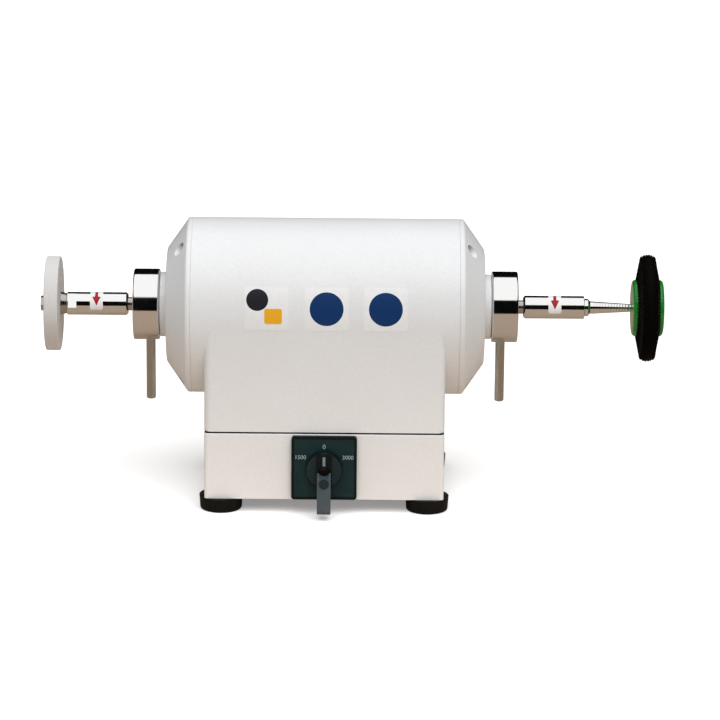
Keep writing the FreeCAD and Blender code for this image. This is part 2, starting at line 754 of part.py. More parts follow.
def make_end_bells():
    outer = new_body("end_bell_outside")
    rim_radius = S.barrel_radius
    profile = [
        (SEAM - S.register_length, ZERO),
        (SPIGOT_END, ZERO),
        (SPIGOT_END, S.spigot_radius),
        (BOSS_FACE, S.spigot_radius),
        (BOSS_FACE, BELL_BOSS_RADIUS),
        (BELL_FACE, BELL_BOSS_RADIUS),
        (BELL_FACE, BELL_FACE_RADIUS),
        (CONE_START, rim_radius),
        (SEAM + S.bell_seam_bevel, rim_radius),
        (SEAM, rim_radius - S.bell_seam_bevel),
        (SEAM, REGISTER_RADIUS),
        (SEAM - S.register_length, REGISTER_RADIUS),
    ]
    revolve(outer, "X", [profile])
    edges = circular_edges(outer, BELL_FACE, BELL_FACE_RADIUS) + circular_edges(outer, CONE_START, rim_radius)
    dress(outer, "Fillet", "Radius", edges, S.bell_edge_radius)
    dress(outer, "Fillet", "Radius", circular_edges(outer, BOSS_FACE, BELL_BOSS_RADIUS), S.bell_boss_fillet)
    depth, level = screw_place(BELL_SCREW_CIRCLE)
    floor = SEAM + S.bell_screw_floor
    pocket_radius = S.bell_screw_head_radius + S.bell_pocket_gap
    head_pocket = pocket(outer, "X", [circle(depth, level, pocket_radius)], floor, BOSS_FACE)
    shank_radius = S.bell_screw_radius + S.running_clearance
    shank_hole = pocket(outer, "X", [circle(depth, level, shank_radius)], SEAM, floor)
    repeat_round(outer, [head_pocket, shank_hole], BELL_SCREW_COUNT)
    slot_low = LEVER_STATION - S.lever_tip_radius - S.drift_slack
    slot_high = LEVER_STATION + S.lever_tip_radius + S.drift_slack
    slot = rectangle(slot_low, slot_high, -(S.spigot_radius + S.free_gap), -(S.spigot_bore_radius - S.free_gap))
    swing = S.lever_swing + S.lever_slot_margin * 2
    groove(outer, "X", [slot], angle=swing, lean=S.lever_swing / 2)

    cavity = new_body("end_bell_inside")
    register_bore = REGISTER_RADIUS - S.register_wall
    hub_radius = S.bearing_radius + S.bearing_hub_wall
    hub_start = BEARING_START - S.bearing_seat_lead
    inner_face = BELL_FACE - S.bell_wall
    rim_depth = S.barrel_wall + S.bell_rim_length
    inner_rim_radius = S.barrel_radius - rim_depth
    inner_rim_station = inner_face - S.bell_cone_length * (inner_rim_radius - BELL_FACE_RADIUS) / S.bell_cone_rise
    inner_face_radius = BELL_FACE_RADIUS - S.bell_edge_radius
    profile = [
        (SEAM - S.register_length - S.cut_overrun, ZERO),
        (hub_start, ZERO),
        (hub_start, hub_radius),
        (inner_face, hub_radius),
        (inner_face, inner_face_radius),
        (inner_rim_station, inner_rim_radius),
        (SEAM + S.free_gap, inner_rim_radius),
        (SEAM + S.free_gap, register_bore),
        (SEAM - S.register_length - S.cut_overrun, register_bore),
    ]
    revolve(cavity, "X", [profile])
    seat = [
        (hub_start, ZERO),
        (SPIGOT_END + S.cut_overrun, ZERO),
        (SPIGOT_END + S.cut_overrun, S.spigot_bore_radius),
        (SPIGOT_BORE_START, S.spigot_bore_radius),
        (SPIGOT_BORE_START, S.shaft_hole_radius),
        (BELL_FACE, S.shaft_hole_radius),
        (BELL_FACE, S.bearing_radius),
        (hub_start, S.bearing_radius),
    ]
    revolve(cavity, "X", [seat])
    lug = pocket(cavity, "X", [circle(depth, level, BELL_LUG_RADIUS)], SEAM, BELL_FACE)
    repeat_round(cavity, [lug], BELL_SCREW_COUNT)

    bell = cut_piece(outer, cavity, "right_end_bell")
    mirror_piece(bell, "left_end_bell")


def make_bell_screws():
    body = new_body("bell_screws")
    depth, level = screw_place(BELL_SCREW_CIRCLE)
    seat = SEAM + S.bell_screw_floor
    head_end = seat + S.bell_screw_head_height
    head = pad(body, "X", [circle(depth, level, S.bell_screw_head_radius)], seat, head_end)
    shank_start = seat - S.bell_screw_length
    shank = pad(body, "X", [circle(depth, level, S.bell_screw_radius)], shank_start, seat)
    key_depth = S.bell_screw_head_height / 2
    key_outline = hexagon(S.bell_screw_key_radius * math.sqrt(3), depth, level)
    key = pocket(body, "X", [key_outline], head_end - key_depth, head_end)
    repeat_round(body, [head, shank, key], BELL_SCREW_COUNT)
    both_ends(body, "bell_screws")


def make_bearings():
    race_radius = BALL_RADIUS + S.running_clearance
    half_gap = BALL_PITCH_RADIUS - (S.bearing_bore_radius + BEARING_RING_WALL)
    middle = BEARING_START + S.bearing_width / 2
    race = [circle(middle, BALL_PITCH_RADIUS, race_radius)]

    outer = new_body("bearing_outer")
    outer_land = BALL_PITCH_RADIUS + half_gap
    revolve(outer, "X", [rectangle(BEARING_START, BEARING_END, outer_land, S.bearing_radius)])
    groove(outer, "X", race)
    both_ends(outer, "bearing_outer_ring")

    inner = new_body("bearing_inner")
    inner_land = BALL_PITCH_RADIUS - half_gap
    revolve(inner, "X", [rectangle(BEARING_START, BEARING_END, S.bearing_bore_radius, inner_land)])
    groove(inner, "X", race)
    both_ends(inner, "bearing_inner_ring")

    balls = []
    for step in range(BALL_COUNT):
        ball = DOC.addObject("Part::Sphere", "bearing_ball")
        bind(ball, "Radius", BALL_RADIUS)
        turn = 2 * math.pi * step / BALL_COUNT
        place(ball, middle, BALL_PITCH_RADIUS * math.cos(turn), BALL_PITCH_RADIUS * math.sin(turn))
        balls.append(ball)
    group = DOC.addObject("Part::Compound", "bearing_balls")
    group.Links = balls
    DOC.recompute()
    both_ends(group, "bearing_balls")


def make_bearing_washers():
    """A wave washer preloads the left bearing and a plain shim of the same size backs the right one."""
    shim = new_body("bearing_shim")
    ring = rectangle(BEARING_END, BELL_FACE, S.bearing_radius - BEARING_RING_WALL, S.bearing_radius)
    revolve(shim, "X", [ring])
    keep(shim, "right_bearing_shim")
    mirror_piece(shim, "left_preload_washer")


def make_stator():
    core = new_body("stator_core")
    ring = [circle(ZERO, ZERO, STATOR_RADIUS), circle(ZERO, ZERO, STATOR_BORE_RADIUS)]
    pad(core, "X", ring, -S.stator_half_length, S.stator_half_length)
    keep(core, "stator_core")

    windings = new_body("stator_windings")
    end = S.stator_half_length + S.winding_reach
    round_radius = (WINDING_OUTER_RADIUS - WINDING_INNER_RADIUS) * S.winding_round_share
    profile = [
        (S.stator_half_length, WINDING_INNER_RADIUS),
        (end - round_radius, WINDING_INNER_RADIUS),
        (end, WINDING_INNER_RADIUS + round_radius, round_radius, "left"),
        (end, WINDING_OUTER_RADIUS - round_radius),
        (end - round_radius, WINDING_OUTER_RADIUS, round_radius, "left"),
        (S.stator_half_length, WINDING_OUTER_RADIUS),
    ]
    coil = revolve(windings, "X", [profile])
    repeat_mirrored(windings, [coil], "YZ_Plane")
    keep(windings, "stator_windings")


def make_rotor():
    shaft = new_body("rotor_shaft")
    stations = [
        (SHAFT_END, S.shaft_neck_radius),
        (COLLAR_END, S.shaft_nose_radius),
        (BEARING_END, S.bearing_bore_radius),
        (BEARING_START, S.shaft_shoulder_radius),
        (S.shaft_core_half_length, S.shaft_core_radius),
    ]
    profile = [(SHAFT_END, ZERO)]
    for index, (station, radius) in enumerate(stations):
        profile.append((station, radius))
        if index + 1 < len(stations):
            profile.append((stations[index + 1][0], radius))
    other_side = [(-station, radius) for station, radius in reversed(profile)]
    revolve(shaft, "X", [profile + other_side])
    slot_height = S.drift_radius + S.running_clearance
    reach = S.shaft_nose_radius + S.cut_overrun
    slot = rectangle(PIN_SLOT_START, PIN_SLOT_END, -slot_height, slot_height)
    slots = pocket(shaft, "Y", [slot], -reach, reach)
    bore = pocket(shaft, "X", [circle(ZERO, ZERO, slot_height)], PIN_SLOT_START, SHAFT_END)
    repeat_mirrored(shaft, [slots, bore], "YZ_Plane")
    keep(shaft, "rotor_shaft")

    core = new_body("rotor_core")
    ring = [circle(ZERO, ZERO, ROTOR_RADIUS), circle(ZERO, ZERO, S.shaft_core_radius)]
    pad(core, "X", ring, -S.stator_half_length, S.stator_half_length)
    keep(core, "rotor_core")

    rings = new_body("rotor_end_rings")
    ring_radius = ROTOR_RADIUS - S.end_ring_inset
    ring = [circle(ZERO, ZERO, ring_radius), circle(ZERO, ZERO, ring_radius - S.end_ring_width)]
    end = S.stator_half_length + S.end_ring_length
    right_ring = pad(rings, "X", ring, S.stator_half_length, end)
    repeat_mirrored(rings, [right_ring], "YZ_Plane")
    keep(rings, "rotor_end_rings")


def make_chuck_sleeves():
    """The sleeve screws onto the shaft's neck, and its mouth is a tapered socket."""
    for label, side in (("right_chuck_sleeve", 1), ("left_chuck_sleeve", -1)):
        body = new_body(label)
        profile = [
            (SLEEVE_START * side, S.shaft_neck_radius),
            (SHAFT_END * side, S.shaft_neck_radius),
            (SHAFT_END * side, S.drift_radius + S.free_gap),
            (SOCKET_START * side, S.drift_radius + S.free_gap),
            (SOCKET_START * side, S.socket_floor_radius),
            (SLEEVE_END * side, S.socket_mouth_radius),
            (SLEEVE_END * side, S.sleeve_radius - S.free_gap),
            ((SLEEVE_END - S.free_gap) * side, S.sleeve_radius),
            ((SLEEVE_START + S.sleeve_bevel) * side, S.sleeve_radius),
            (SLEEVE_START * side, S.sleeve_radius - S.sleeve_bevel),
        ]
        revolve(body, "X", [profile])
        if side < 0:
            cut_wrench_flats(body)
        keep(body, label)


def cut_wrench_flats(body):
    """Two flats near the mouth of the left sleeve, turned a little upwards."""
    near = -(SLEEVE_END - S.flat_setback - S.flat_length)
    far = -(SLEEVE_END - S.flat_setback)
    outside = S.sleeve_radius + S.cut_overrun
    half_width = S.sleeve_radius - S.flat_depth
    front = [rectangle(far, near, -outside, outside)]
    flat = pocket(body, "Y", front, -outside, -half_width, lean=S.flat_turn)
    back = pocket(body, "Y", front, half_width, outside, lean=S.flat_turn)
    return flat, back


def make_release_collars():
    body = new_body("release_collar")
    round_radius = S.collar_edge_radius
    bore_radius = S.spigot_radius + S.running_clearance
    hole_radius = S.shaft_nose_radius + S.collar_hole_gap
    profile = [
        (COLLAR_START, bore_radius),
        (COLLAR_WEB_START, bore_radius),
        (COLLAR_WEB_START, hole_radius),
        (COLLAR_END, hole_radius),
        (COLLAR_END, S.collar_radius - round_radius),
        (COLLAR_END - round_radius, S.collar_radius, round_radius, "left"),
        (COLLAR_START + round_radius, S.collar_radius),
        (COLLAR_START, S.collar_radius - round_radius, round_radius, "left"),
    ]
    revolve(body, "X", [profile])
    hole = [circle(LEVER_STATION, ZERO, S.lever_radius)]
    pocket(body, "Z", hole, -(S.collar_radius + S.cut_overrun), ZERO)
    both_ends(body, "release_collar")


def make_release_levers():
    """The rod screws into the collar, and its slim tip reaches through the bell into the ejector."""
    body = new_body("release_lever", LEVER_STATION)
    tip_end = EJECTOR_BORE_RADIUS + S.free_gap
    shoulder = S.spigot_radius + S.free_gap
    end = S.lever_reach
    profile = [
        (ZERO, -tip_end),
        (ZERO, -end),
        (S.lever_radius - S.lever_end_radius, -end),
        (S.lever_radius, -(end - S.lever_end_radius), S.lever_end_radius, "left"),
        (S.lever_radius, -shoulder),
        (S.lever_tip_radius, -shoulder),
        (S.lever_tip_radius, -tip_end),
    ]
    revolve(body, "Z", [profile])
    both_ends(body, "release_lever")


def make_ejector_sleeves():
    """The lever's tip turns in a slanted slot and so slides this sleeve outwards."""
    body = new_body("ejector_sleeve")
    outer = S.spigot_bore_radius - S.running_clearance
    profile = [
        (EJECTOR_START, EJECTOR_FLANGE_BORE),
        (EJECTOR_FLANGE_END, EJECTOR_FLANGE_BORE),
        (EJECTOR_FLANGE_END, EJECTOR_BORE_RADIUS),
        (EJECTOR_END, EJECTOR_BORE_RADIUS),
        (EJECTOR_END, outer),
        (EJECTOR_START, outer),
    ]
    revolve(body, "X", [profile])
    reach = SLOT_HALF_RUN + SLOT_EXTRA
    start = LEVER_STATION + SLOT_SLOPE * SLOT_EXTRA
    end = LEVER_STATION - S.eject_travel - SLOT_SLOPE * SLOT_EXTRA
    slot = [
        (start - SLOT_HALF_WIDTH, reach),
        (end - SLOT_HALF_WIDTH, -reach),
        (end + SLOT_HALF_WIDTH, -reach),
        (start + SLOT_HALF_WIDTH, reach),
    ]
    pocket(body, "Z", [slot], -S.spigot_radius, -EJECTOR_FLANGE_BORE, lean=S.lever_swing / 2)
    both_ends(body, "ejector_sleeve")


def make_drifts():
    """A cross pin through the shaft's slot carries the rod that pushes the spindle out."""
    body = new_body("drift")
    rod = [circle(ZERO, ZERO, S.drift_radius)]
    pad(body, "X", rod, PIN_STATION, DRIFT_END)
    pin = [circle(PIN_STATION, ZERO, S.drift_radius)]
    reach = EJECTOR_BORE_RADIUS - S.drift_pin_gap
    pad(body, "Y", pin, -reach, reach)
    both_ends(body, "drift")


def shank_profile(side):
    """Outline of the tapered shank, from its inner end to the sleeve's mouth."""
    growth = (S.socket_mouth_radius - S.socket_floor_radius) / S.socket_length
    small = S.socket_floor_radius + growth * S.shank_setback - S.running_clearance
    large = S.socket_mouth_radius - S.running_clearance
    return [
        (SHANK_START * side, ZERO),
        (SHANK_START * side, small),
        (SLEEVE_END * side, large),
        (ARBOR_FLANGE_START * side, large),
    ]


def make_left_tool():
    arbor = new_body("wheel_arbor")
    profile = shank_profile(-1) + [
        (-ARBOR_FLANGE_START, S.arbor_flange_small_radius),
        (-(WHEEL_START - S.free_gap), S.arbor_flange_large_radius),
        (-WHEEL_START, S.arbor_flange_large_radius),
        (-WHEEL_START, S.arbor_bolt_radius),
        (-ARBOR_END, S.arbor_bolt_radius),
        (-ARBOR_END, ZERO),
    ]
    revolve(arbor, "X", [profile])
    keep(arbor, "wheel_arbor")

    wheel = new_body("polishing_wheel")
    bore = S.arbor_bolt_radius + S.running_clearance
    edge = S.wheel_edge_radius
    profile = [
        (-WHEEL_START, bore),
        (-WHEEL_START, S.wheel_radius - edge),
        (-(WHEEL_START + edge), S.wheel_radius, edge, "left"),
        (-(WHEEL_END - edge), S.wheel_radius),
        (-WHEEL_END, S.wheel_radius - edge, edge, "left"),
        (-WHEEL_END, bore),
    ]
    revolve(wheel, "X", [profile])
    keep(wheel, "polishing_wheel")

    nut = new_body("wheel_nut")
    pad(nut, "X", [hexagon(S.wheel_nut_across), circle(ZERO, ZERO, S.arbor_bolt_radius)], -ARBOR_END, -WHEEL_END)
    corner_radius = S.wheel_nut_across / math.sqrt(3)
    bevel = [
        (-(ARBOR_END + S.free_gap), corner_radius - S.nut_bevel),
        (-ARBOR_END, corner_radius - S.nut_bevel),
        (-(ARBOR_END - S.nut_bevel), corner_radius + S.free_gap),
        (-(ARBOR_END + S.free_gap), corner_radius + S.free_gap),
    ]
    groove(nut, "X", [bevel])
    keep(nut, "wheel_nut")


def make_right_tool():
    spindle = new_body("taper_spindle")
    profile = shank_profile(1) + [
        (ARBOR_FLANGE_START, S.spindle_ring_radius),
        (SPINDLE_RING_END, S.spindle_ring_radius),
        (SPINDLE_ROOT, S.spindle_root_radius),
        (HUB_START, S.spindle_taper_radius),
        (SPINDLE_TIP, S.spindle_tip_radius),
        (SPINDLE_TIP, ZERO),
    ]
    revolve(spindle, "X", [profile])
    keep(spindle, "taper_spindle")

    hub = new_body("brush_hub")
    edge = S.hub_edge_radius
    tip_bore = S.spindle_tip_radius + S.running_clearance
    left_rim = HUB_START + edge + S.hub_land
    right_rim = HUB_END - edge - S.hub_land
    profile = [
        (HUB_START, S.spindle_taper_radius + S.running_clearance),
        (SPINDLE_TIP, tip_bore),
        (HUB_END, tip_bore),
        (HUB_END, S.hub_radius - edge),
        (HUB_END - edge, S.hub_radius, edge, "left"),
        (right_rim, S.hub_radius),
        (right_rim, S.bristle_root_radius),
        (left_rim, S.bristle_root_radius),
        (left_rim, S.hub_radius),
        (HUB_START + edge, S.hub_radius),
        (HUB_START, S.hub_radius - edge, edge, "left"),
    ]
    revolve(hub, "X", [profile])
    keep(hub, "brush_hub")

    bristles = new_body("brush_bristles")
    profile = [
        (left_rim, S.bristle_root_radius),
        (right_rim, S.bristle_root_radius),
        (right_rim, S.hub_radius),
        (HUB_MIDDLE + S.bristle_tip_half_width, S.bristle_radius),
        (HUB_MIDDLE - S.bristle_tip_half_width, S.bristle_radius),
        (left_rim, S.hub_radius),
    ]
    revolve(bristles, "X", [profile])
    keep(bristles, "brush_bristles")


def make_base_box():
    box = new_body("base_box")
    corner = S.base_corner_radius
    outer = rounded_rectangle(PEDESTAL_HALF_WIDTH, S.barrel_radius, corner)
    pad(box, "Z", [outer], BASE_BOTTOM, BASE_TOP)
    top = [
        f"Face{number}"
        for number, face in enumerate(box.Tip.Shape.Faces, start=1)
        if face.normalAt(0, 0).z > 0.99
    ]
    dress(box, "Chamfer", "Size", top, S.base_edge_bevel)
    inner_corner = corner / 2
    inner = rounded_rectangle(BASE_INNER_SIDE, BASE_INNER_REAR, inner_corner)
    pocket(box, "Z", [inner], BASE_BOTTOM, BASE_CEILING)
    window_half_width = PEDESTAL_HALF_WIDTH - S.base_window_side_inset
    window_half_depth = S.barrel_radius - S.base_window_end_inset
    window = rounded_rectangle(window_half_width, window_half_depth, corner)
    pocket(box, "Z", [window], BASE_CEILING, BASE_TOP)
    boss_top = PLATE_TOP + S.foot_boss_height
    pad(box, "Z", foot_circles(FOOT_BOSS_RADIUS), PLATE_TOP, boss_top)
    pocket(box, "Z", foot_circles(S.foot_screw_radius), PLATE_TOP, boss_top)
    screw_hole = S.housing_screw_radius + S.running_clearance
    holes = four_circles(HOUSING_SCREW_ACROSS, HOUSING_SCREW_DEPTH, screw_hole)
    pocket(box, "Z", holes, BASE_CEILING, BASE_TOP)
    pocket(box, "Y", [circle(ZERO, BASE_MIDDLE, S.switch_neck_radius)], FRONT, FRONT + S.base_wall)
    gland_hole = circle(-GLAND_ACROSS, BASE_MIDDLE, S.gland_thread_radius)
    pocket(box, "Y", [gland_hole], BASE_INNER_REAR, REAR)
    return keep(box, "base_box")


def foot_circles(radius):
    return four_circles(FOOT_ACROSS, FOOT_DEPTH, radius)


def make_base_fittings():
    gasket = new_body("base_gasket")
    inset = S.gasket_inset
    outer_corner = S.pedestal_corner_radius - inset
    inner_corner = outer_corner / 2
    outer = rounded_rectangle(PEDESTAL_HALF_WIDTH - inset, S.barrel_radius - inset, outer_corner)
    inner_inset = inset + S.gasket_width
    inner = rounded_rectangle(PEDESTAL_HALF_WIDTH - inner_inset, S.barrel_radius - inner_inset, inner_corner)
    pad(gasket, "Z", [outer, inner], BASE_TOP, PEDESTAL_BOTTOM)
    keep(gasket, "base_gasket")

    plate = new_body("base_plate")
    gap = S.free_gap
    outline = rounded_rectangle(BASE_INNER_SIDE - gap, BASE_INNER_REAR - gap, S.base_corner_radius / 2)
    pad(plate, "Z", [outline], BASE_BOTTOM, PLATE_TOP)
    pocket(plate, "Z", foot_circles(S.foot_screw_radius + S.running_clearance), BASE_BOTTOM, PLATE_TOP)
    keep(plate, "base_plate")

    screws = new_body("housing_screws")
    places = (HOUSING_SCREW_ACROSS, HOUSING_SCREW_DEPTH)
    head_bottom = BASE_CEILING - S.housing_screw_head_height
    pad(screws, "Z", four_circles(*places, S.housing_screw_head_radius), head_bottom, BASE_CEILING)
    shank_top = BASE_CEILING + S.housing_screw_length
    pad(screws, "Z", four_circles(*places, S.housing_screw_radius), BASE_CEILING, shank_top)
    key_radius = S.housing_screw_radius - S.running_clearance
    key_top = head_bottom + S.housing_screw_head_height / 2
    pocket(screws, "Z", four_circles(*places, key_radius), head_bottom, key_top)
    keep(screws, "housing_screws")


def make_feet():
    recess_top = BASE_BOTTOM - S.foot_height + S.foot_recess_depth
    for side_name, side in (("left", -1), ("right", 1)):
        for end_name, end in (("front", -1), ("rear", 1)):
            label = f"foot_{end_name}_{side_name}"
            foot = new_body(label, FOOT_ACROSS * side, FOOT_DEPTH * end)
            hole = S.foot_screw_radius + S.running_clearance
            bottom = BASE_BOTTOM - S.foot_height
            bottom_radius = S.foot_radius - S.foot_draft
            edge = S.foot_edge_radius
            profile = [
                (hole, BASE_BOTTOM),
                (hole, recess_top),
                (S.foot_recess_radius, recess_top),
                (S.foot_recess_radius, bottom),
                (bottom_radius - edge, bottom),
                (bottom_radius, bottom + edge, edge, "left"),
                (S.foot_radius, BASE_BOTTOM),
            ]
            revolve(foot, "Z", [profile])
            keep(foot, label)

    screws = new_body("foot_screws")
    head_bottom = recess_top - S.foot_screw_head_height
    pad(screws, "Z", foot_circles(S.foot_screw_head_radius), head_bottom, recess_top)
    pad(screws, "Z", foot_circles(S.foot_screw_radius), recess_top, recess_top + S.foot_screw_length)
    keep(screws, "foot_screws")


def make_switch_case():
    bezel = new_body("switch_bezel", level=BASE_MIDDLE)
    square = rounded_rectangle(S.bezel_half_width, S.bezel_half_width, S.bezel_corner_radius)
    pad(bezel, "Y", [square], BEZEL_FRONT, FRONT)
    window_half = S.bezel_half_width - S.bezel_border
    window = rounded_rectangle(window_half, window_half, S.bezel_corner_radius / 2)
    pocket(bezel, "Y", [window], BEZEL_FRONT, FACE_PLATE_BACK)
    pocket(bezel, "Y", [circle(ZERO, ZERO, S.switch_neck_radius)], FACE_PLATE_BACK, FRONT)
    keep(bezel, "switch_bezel")

    plate = new_body("switch_face_plate", level=BASE_MIDDLE)
    half = window_half - S.running_clearance
    outline = rounded_rectangle(half, half, S.bezel_corner_radius / 2)
    hole = circle(ZERO, ZERO, S.switch_shaft_radius + S.free_gap)
    pad(plate, "Y", [outline, hole], FACE_PLATE_FRONT, FACE_PLATE_BACK)
    keep(plate, "switch_face_plate")

    body = new_body("switch_body", level=BASE_MIDDLE)
    back = FRONT + S.base_wall
    end = back + S.switch_body_depth
    half = S.bezel_half_width - S.switch_body_inset
    pad(body, "Y", [rounded_rectangle(half, half, S.bezel_corner_radius)], back, end)
    pad(body, "Y", [circle(ZERO, ZERO, S.switch_neck_radius)], FACE_PLATE_BACK, back)
    shaft_end = back + S.switch_shaft_depth
    hole = circle(ZERO, ZERO, S.switch_shaft_radius + S.running_clearance)
    pocket(body, "Y", [hole], FACE_PLATE_BACK, shaft_end + S.free_gap)
    keep(body, "switch_body")


def make_switch_handle():
    shaft = new_body("switch_shaft", level=BASE_MIDDLE)
    seat = GRIP_LOW + S.knob_screw_recess_depth
    shaft_front = seat + S.knob_screw_wall
    shaft_end = FRONT + S.base_wall + S.switch_shaft_depth
    pad(shaft, "Y", [circle(ZERO, ZERO, S.switch_shaft_radius)], shaft_front, shaft_end)
    screw_end = seat + S.knob_screw_length
    pocket(shaft, "Y", [circle(ZERO, ZERO, S.knob_screw_radius)], shaft_front, screw_end)
    keep(shaft, "switch_shaft")

    knob = new_body("switch_knob", level=BASE_MIDDLE)
    edge = S.dial_edge_radius
    dial = [
        (DIAL_BACK, ZERO),
        (DIAL_BACK, S.dial_radius),
        (DIAL_FRONT + edge, S.dial_radius),
        (DIAL_FRONT, S.dial_radius - edge, edge, "left"),
        (DIAL_FRONT, ZERO),
    ]
    revolve(knob, "Y", [dial])
    inside = DIAL_FRONT + edge
    bar = [
        (inside, S.grip_top),
        (GRIP_LOW, S.grip_top),
        (GRIP_LOW, -S.grip_top),
        (inside, -S.grip_top),
    ]
    pad(knob, "X", [bar], -S.grip_half_width, S.grip_half_width)
    tail_back = GRIP_LOW + S.tail_root_depth
    round_radius = S.tail_end_radius
    tail = [
        (tail_back, -S.grip_step_start),
        (GRIP_LOW, -S.grip_step_start),
        (GRIP_HIGH, -S.grip_step_end),
        (GRIP_HIGH, -(S.tail_reach - round_radius)),
        (GRIP_HIGH + round_radius, -S.tail_reach, round_radius, "left"),
        (tail_back - round_radius, -S.tail_reach),
        (tail_back, -(S.tail_reach - round_radius), round_radius, "left"),
    ]
    pad(knob, "X", [tail], -S.tail_half_width, S.tail_half_width)
    recess_radius = S.knob_screw_head_radius + S.knob_screw_recess_gap
    pocket(knob, "Y", [circle(ZERO, ZERO, recess_radius)], GRIP_HIGH, seat)
    pocket(knob, "Y", [circle(ZERO, ZERO, S.knob_screw_radius)], seat, DIAL_BACK)
    pocket(knob, "Y", [circle(ZERO, ZERO, S.switch_shaft_radius)], shaft_front, DIAL_BACK)
    cap_hole = circle(ZERO, -S.knob_cap_drop, S.knob_cap_radius + S.knob_cap_groove)
    pocket(knob, "Y", [cap_hole], GRIP_HIGH, GRIP_HIGH + S.knob_cap_groove)
    cap_seat = circle(ZERO, -S.knob_cap_drop, S.knob_cap_radius)
    pocket(knob, "Y", [cap_seat], GRIP_HIGH, GRIP_HIGH + S.knob_cap_depth)
    keep(knob, "switch_knob")

    cap = new_body("switch_knob_cap", level=BASE_MIDDLE - S.knob_cap_drop)
    cap_front = GRIP_HIGH + S.running_clearance
    pad(cap, "Y", [circle(ZERO, ZERO, S.knob_cap_radius)], cap_front, GRIP_HIGH + S.knob_cap_depth)
    keep(cap, "switch_knob_cap")

    screw = new_body("switch_knob_screw", level=BASE_MIDDLE)
    head_front = seat - S.knob_screw_head_height
    pad(screw, "Y", [circle(ZERO, ZERO, S.knob_screw_head_radius)], head_front, seat)
    pad(screw, "Y", [circle(ZERO, ZERO, S.knob_screw_radius)], seat, screw_end)
    slot_half = S.knob_screw_radius / 3
    slot = rectangle(-S.knob_screw_head_radius, S.knob_screw_head_radius, -slot_half, slot_half)
    pocket(screw, "Y", [slot], head_front, head_front + S.knob_screw_head_height / 2)
    keep(screw, "switch_knob_screw")


def make_electrics():
    where = {"across": CAPACITOR_ACROSS, "level": CAPACITOR_LEVEL}
    capacitor = new_body("run_capacitor", **where)
    start = CAPACITOR_START
    end = start + S.capacitor_length
    rim = S.capacitor_rim
    profile = [
        (start, ZERO),
        (start, S.capacitor_radius - rim),
        (start + rim, S.capacitor_radius, rim, "right"),
        (end - rim, S.capacitor_radius),
        (end, S.capacitor_radius - rim, rim, "right"),
        (end, ZERO),
    ]
    revolve(capacitor, "Y", [profile])
    keep(capacitor, "run_capacitor")

    clamp = new_body("capacitor_clamp", **where)
    middle = start + S.capacitor_length / 2
    near = middle - S.clamp_width / 2
    far = middle + S.clamp_width / 2
    strap_radius = S.capacitor_radius + S.clamp_wall
    pad(clamp, "Y", [circle(ZERO, ZERO, strap_radius)], near, far)
    ceiling = BASE_CEILING - CAPACITOR_LEVEL
    leg = rectangle(S.capacitor_radius, strap_radius, ZERO, ceiling)
    pad(clamp, "Y", [leg], near, far)
    tab = rectangle(strap_radius - S.clamp_tab, strap_radius, ceiling - S.clamp_wall, ceiling)
    pad(clamp, "Y", [tab], near, far)
    pocket(clamp, "Y", [circle(ZERO, ZERO, S.capacitor_radius)], near, far)
    keep(clamp, "capacitor_clamp")

    block = new_body("terminal_block", level=BASE_MIDDLE)
    block_start = TERMINAL_START
    block_end = block_start + S.terminal_length
    block_front = BASE_INNER_REAR - S.terminal_depth
    half = S.terminal_height / 2
    pad(block, "X", [rectangle(block_front, BASE_INNER_REAR, -half, half)], block_start, block_end)
    pitch = S.terminal_length / TERMINAL_COUNT
    screws = []
    for step in range(TERMINAL_COUNT):
        screws.append(circle(block_start + pitch * (step + 0.5), ZERO, S.terminal_screw_radius))
    pocket(block, "Y", screws, block_front, block_front + S.terminal_screw_depth)
    keep(block, "terminal_block")

    earth = new_body("earth_stud", across=S.earth_side_inset - PEDESTAL_HALF_WIDTH)
    stud_bottom = BASE_CEILING - S.earth_stud_length
    pad(earth, "Z", [circle(ZERO, ZERO, S.earth_stud_radius)], stud_bottom, BASE_CEILING)
    pad(earth, "Z", [hexagon(S.earth_nut_across)], BASE_CEILING - S.earth_nut_height, BASE_CEILING)
    keep(earth, "earth_stud")


def make_cable_gland():
    where = {"across": -GLAND_ACROSS, "level": BASE_MIDDLE}
    inner_end = REAR - S.gland_thread_length
    bore = [circle(ZERO, ZERO, S.gland_bore_radius)]

    body = new_body("cable_gland_body", **where)
    pad(body, "Y", [hexagon(S.gland_hex_across)], REAR, GLAND_HEX_END)
    pad(body, "Y", [circle(ZERO, ZERO, S.gland_thread_radius)], inner_end, REAR)
    pocket(body, "Y", bore, inner_end, GLAND_HEX_END)
    keep(body, "cable_gland_body")

    cap = new_body("cable_gland_cap", **where)
    pad(cap, "Y", [hexagon(S.gland_cap_across)], GLAND_HEX_END, GLAND_CAP_END)
    nose = [
        (GLAND_CAP_END, ZERO),
        (GLAND_CAP_END, S.gland_cap_across / 2),
        (GLAND_END, S.gland_nose_radius, S.gland_cap_length, "right"),
        (GLAND_END, ZERO),
    ]
    revolve(cap, "Y", [nose])
    pocket(cap, "Y", bore, GLAND_HEX_END, GLAND_END)
    keep(cap, "cable_gland_cap")

    locknut = new_body("cable_gland_locknut", **where)
    ring = [hexagon(S.locknut_across), circle(ZERO, ZERO, S.gland_thread_radius)]
    pad(locknut, "Y", ring, BASE_INNER_REAR - S.locknut_height, BASE_INNER_REAR)
    keep(locknut, "cable_gland_locknut")


def check_document():
    """Stops if any object failed or any kept piece has no sound shape."""
    for item in DOC.Objects:
        if "Invalid" in item.State or "Error" in item.State:
            raise RuntimeError(f"{item.Label} failed: {item.State}")
    for piece in PARTS:
        if piece.Shape.isNull() or not piece.Shape.isValid() or piece.Shape.Volume <= 0:
            raise RuntimeError(f"{piece.Label} has no valid shape")


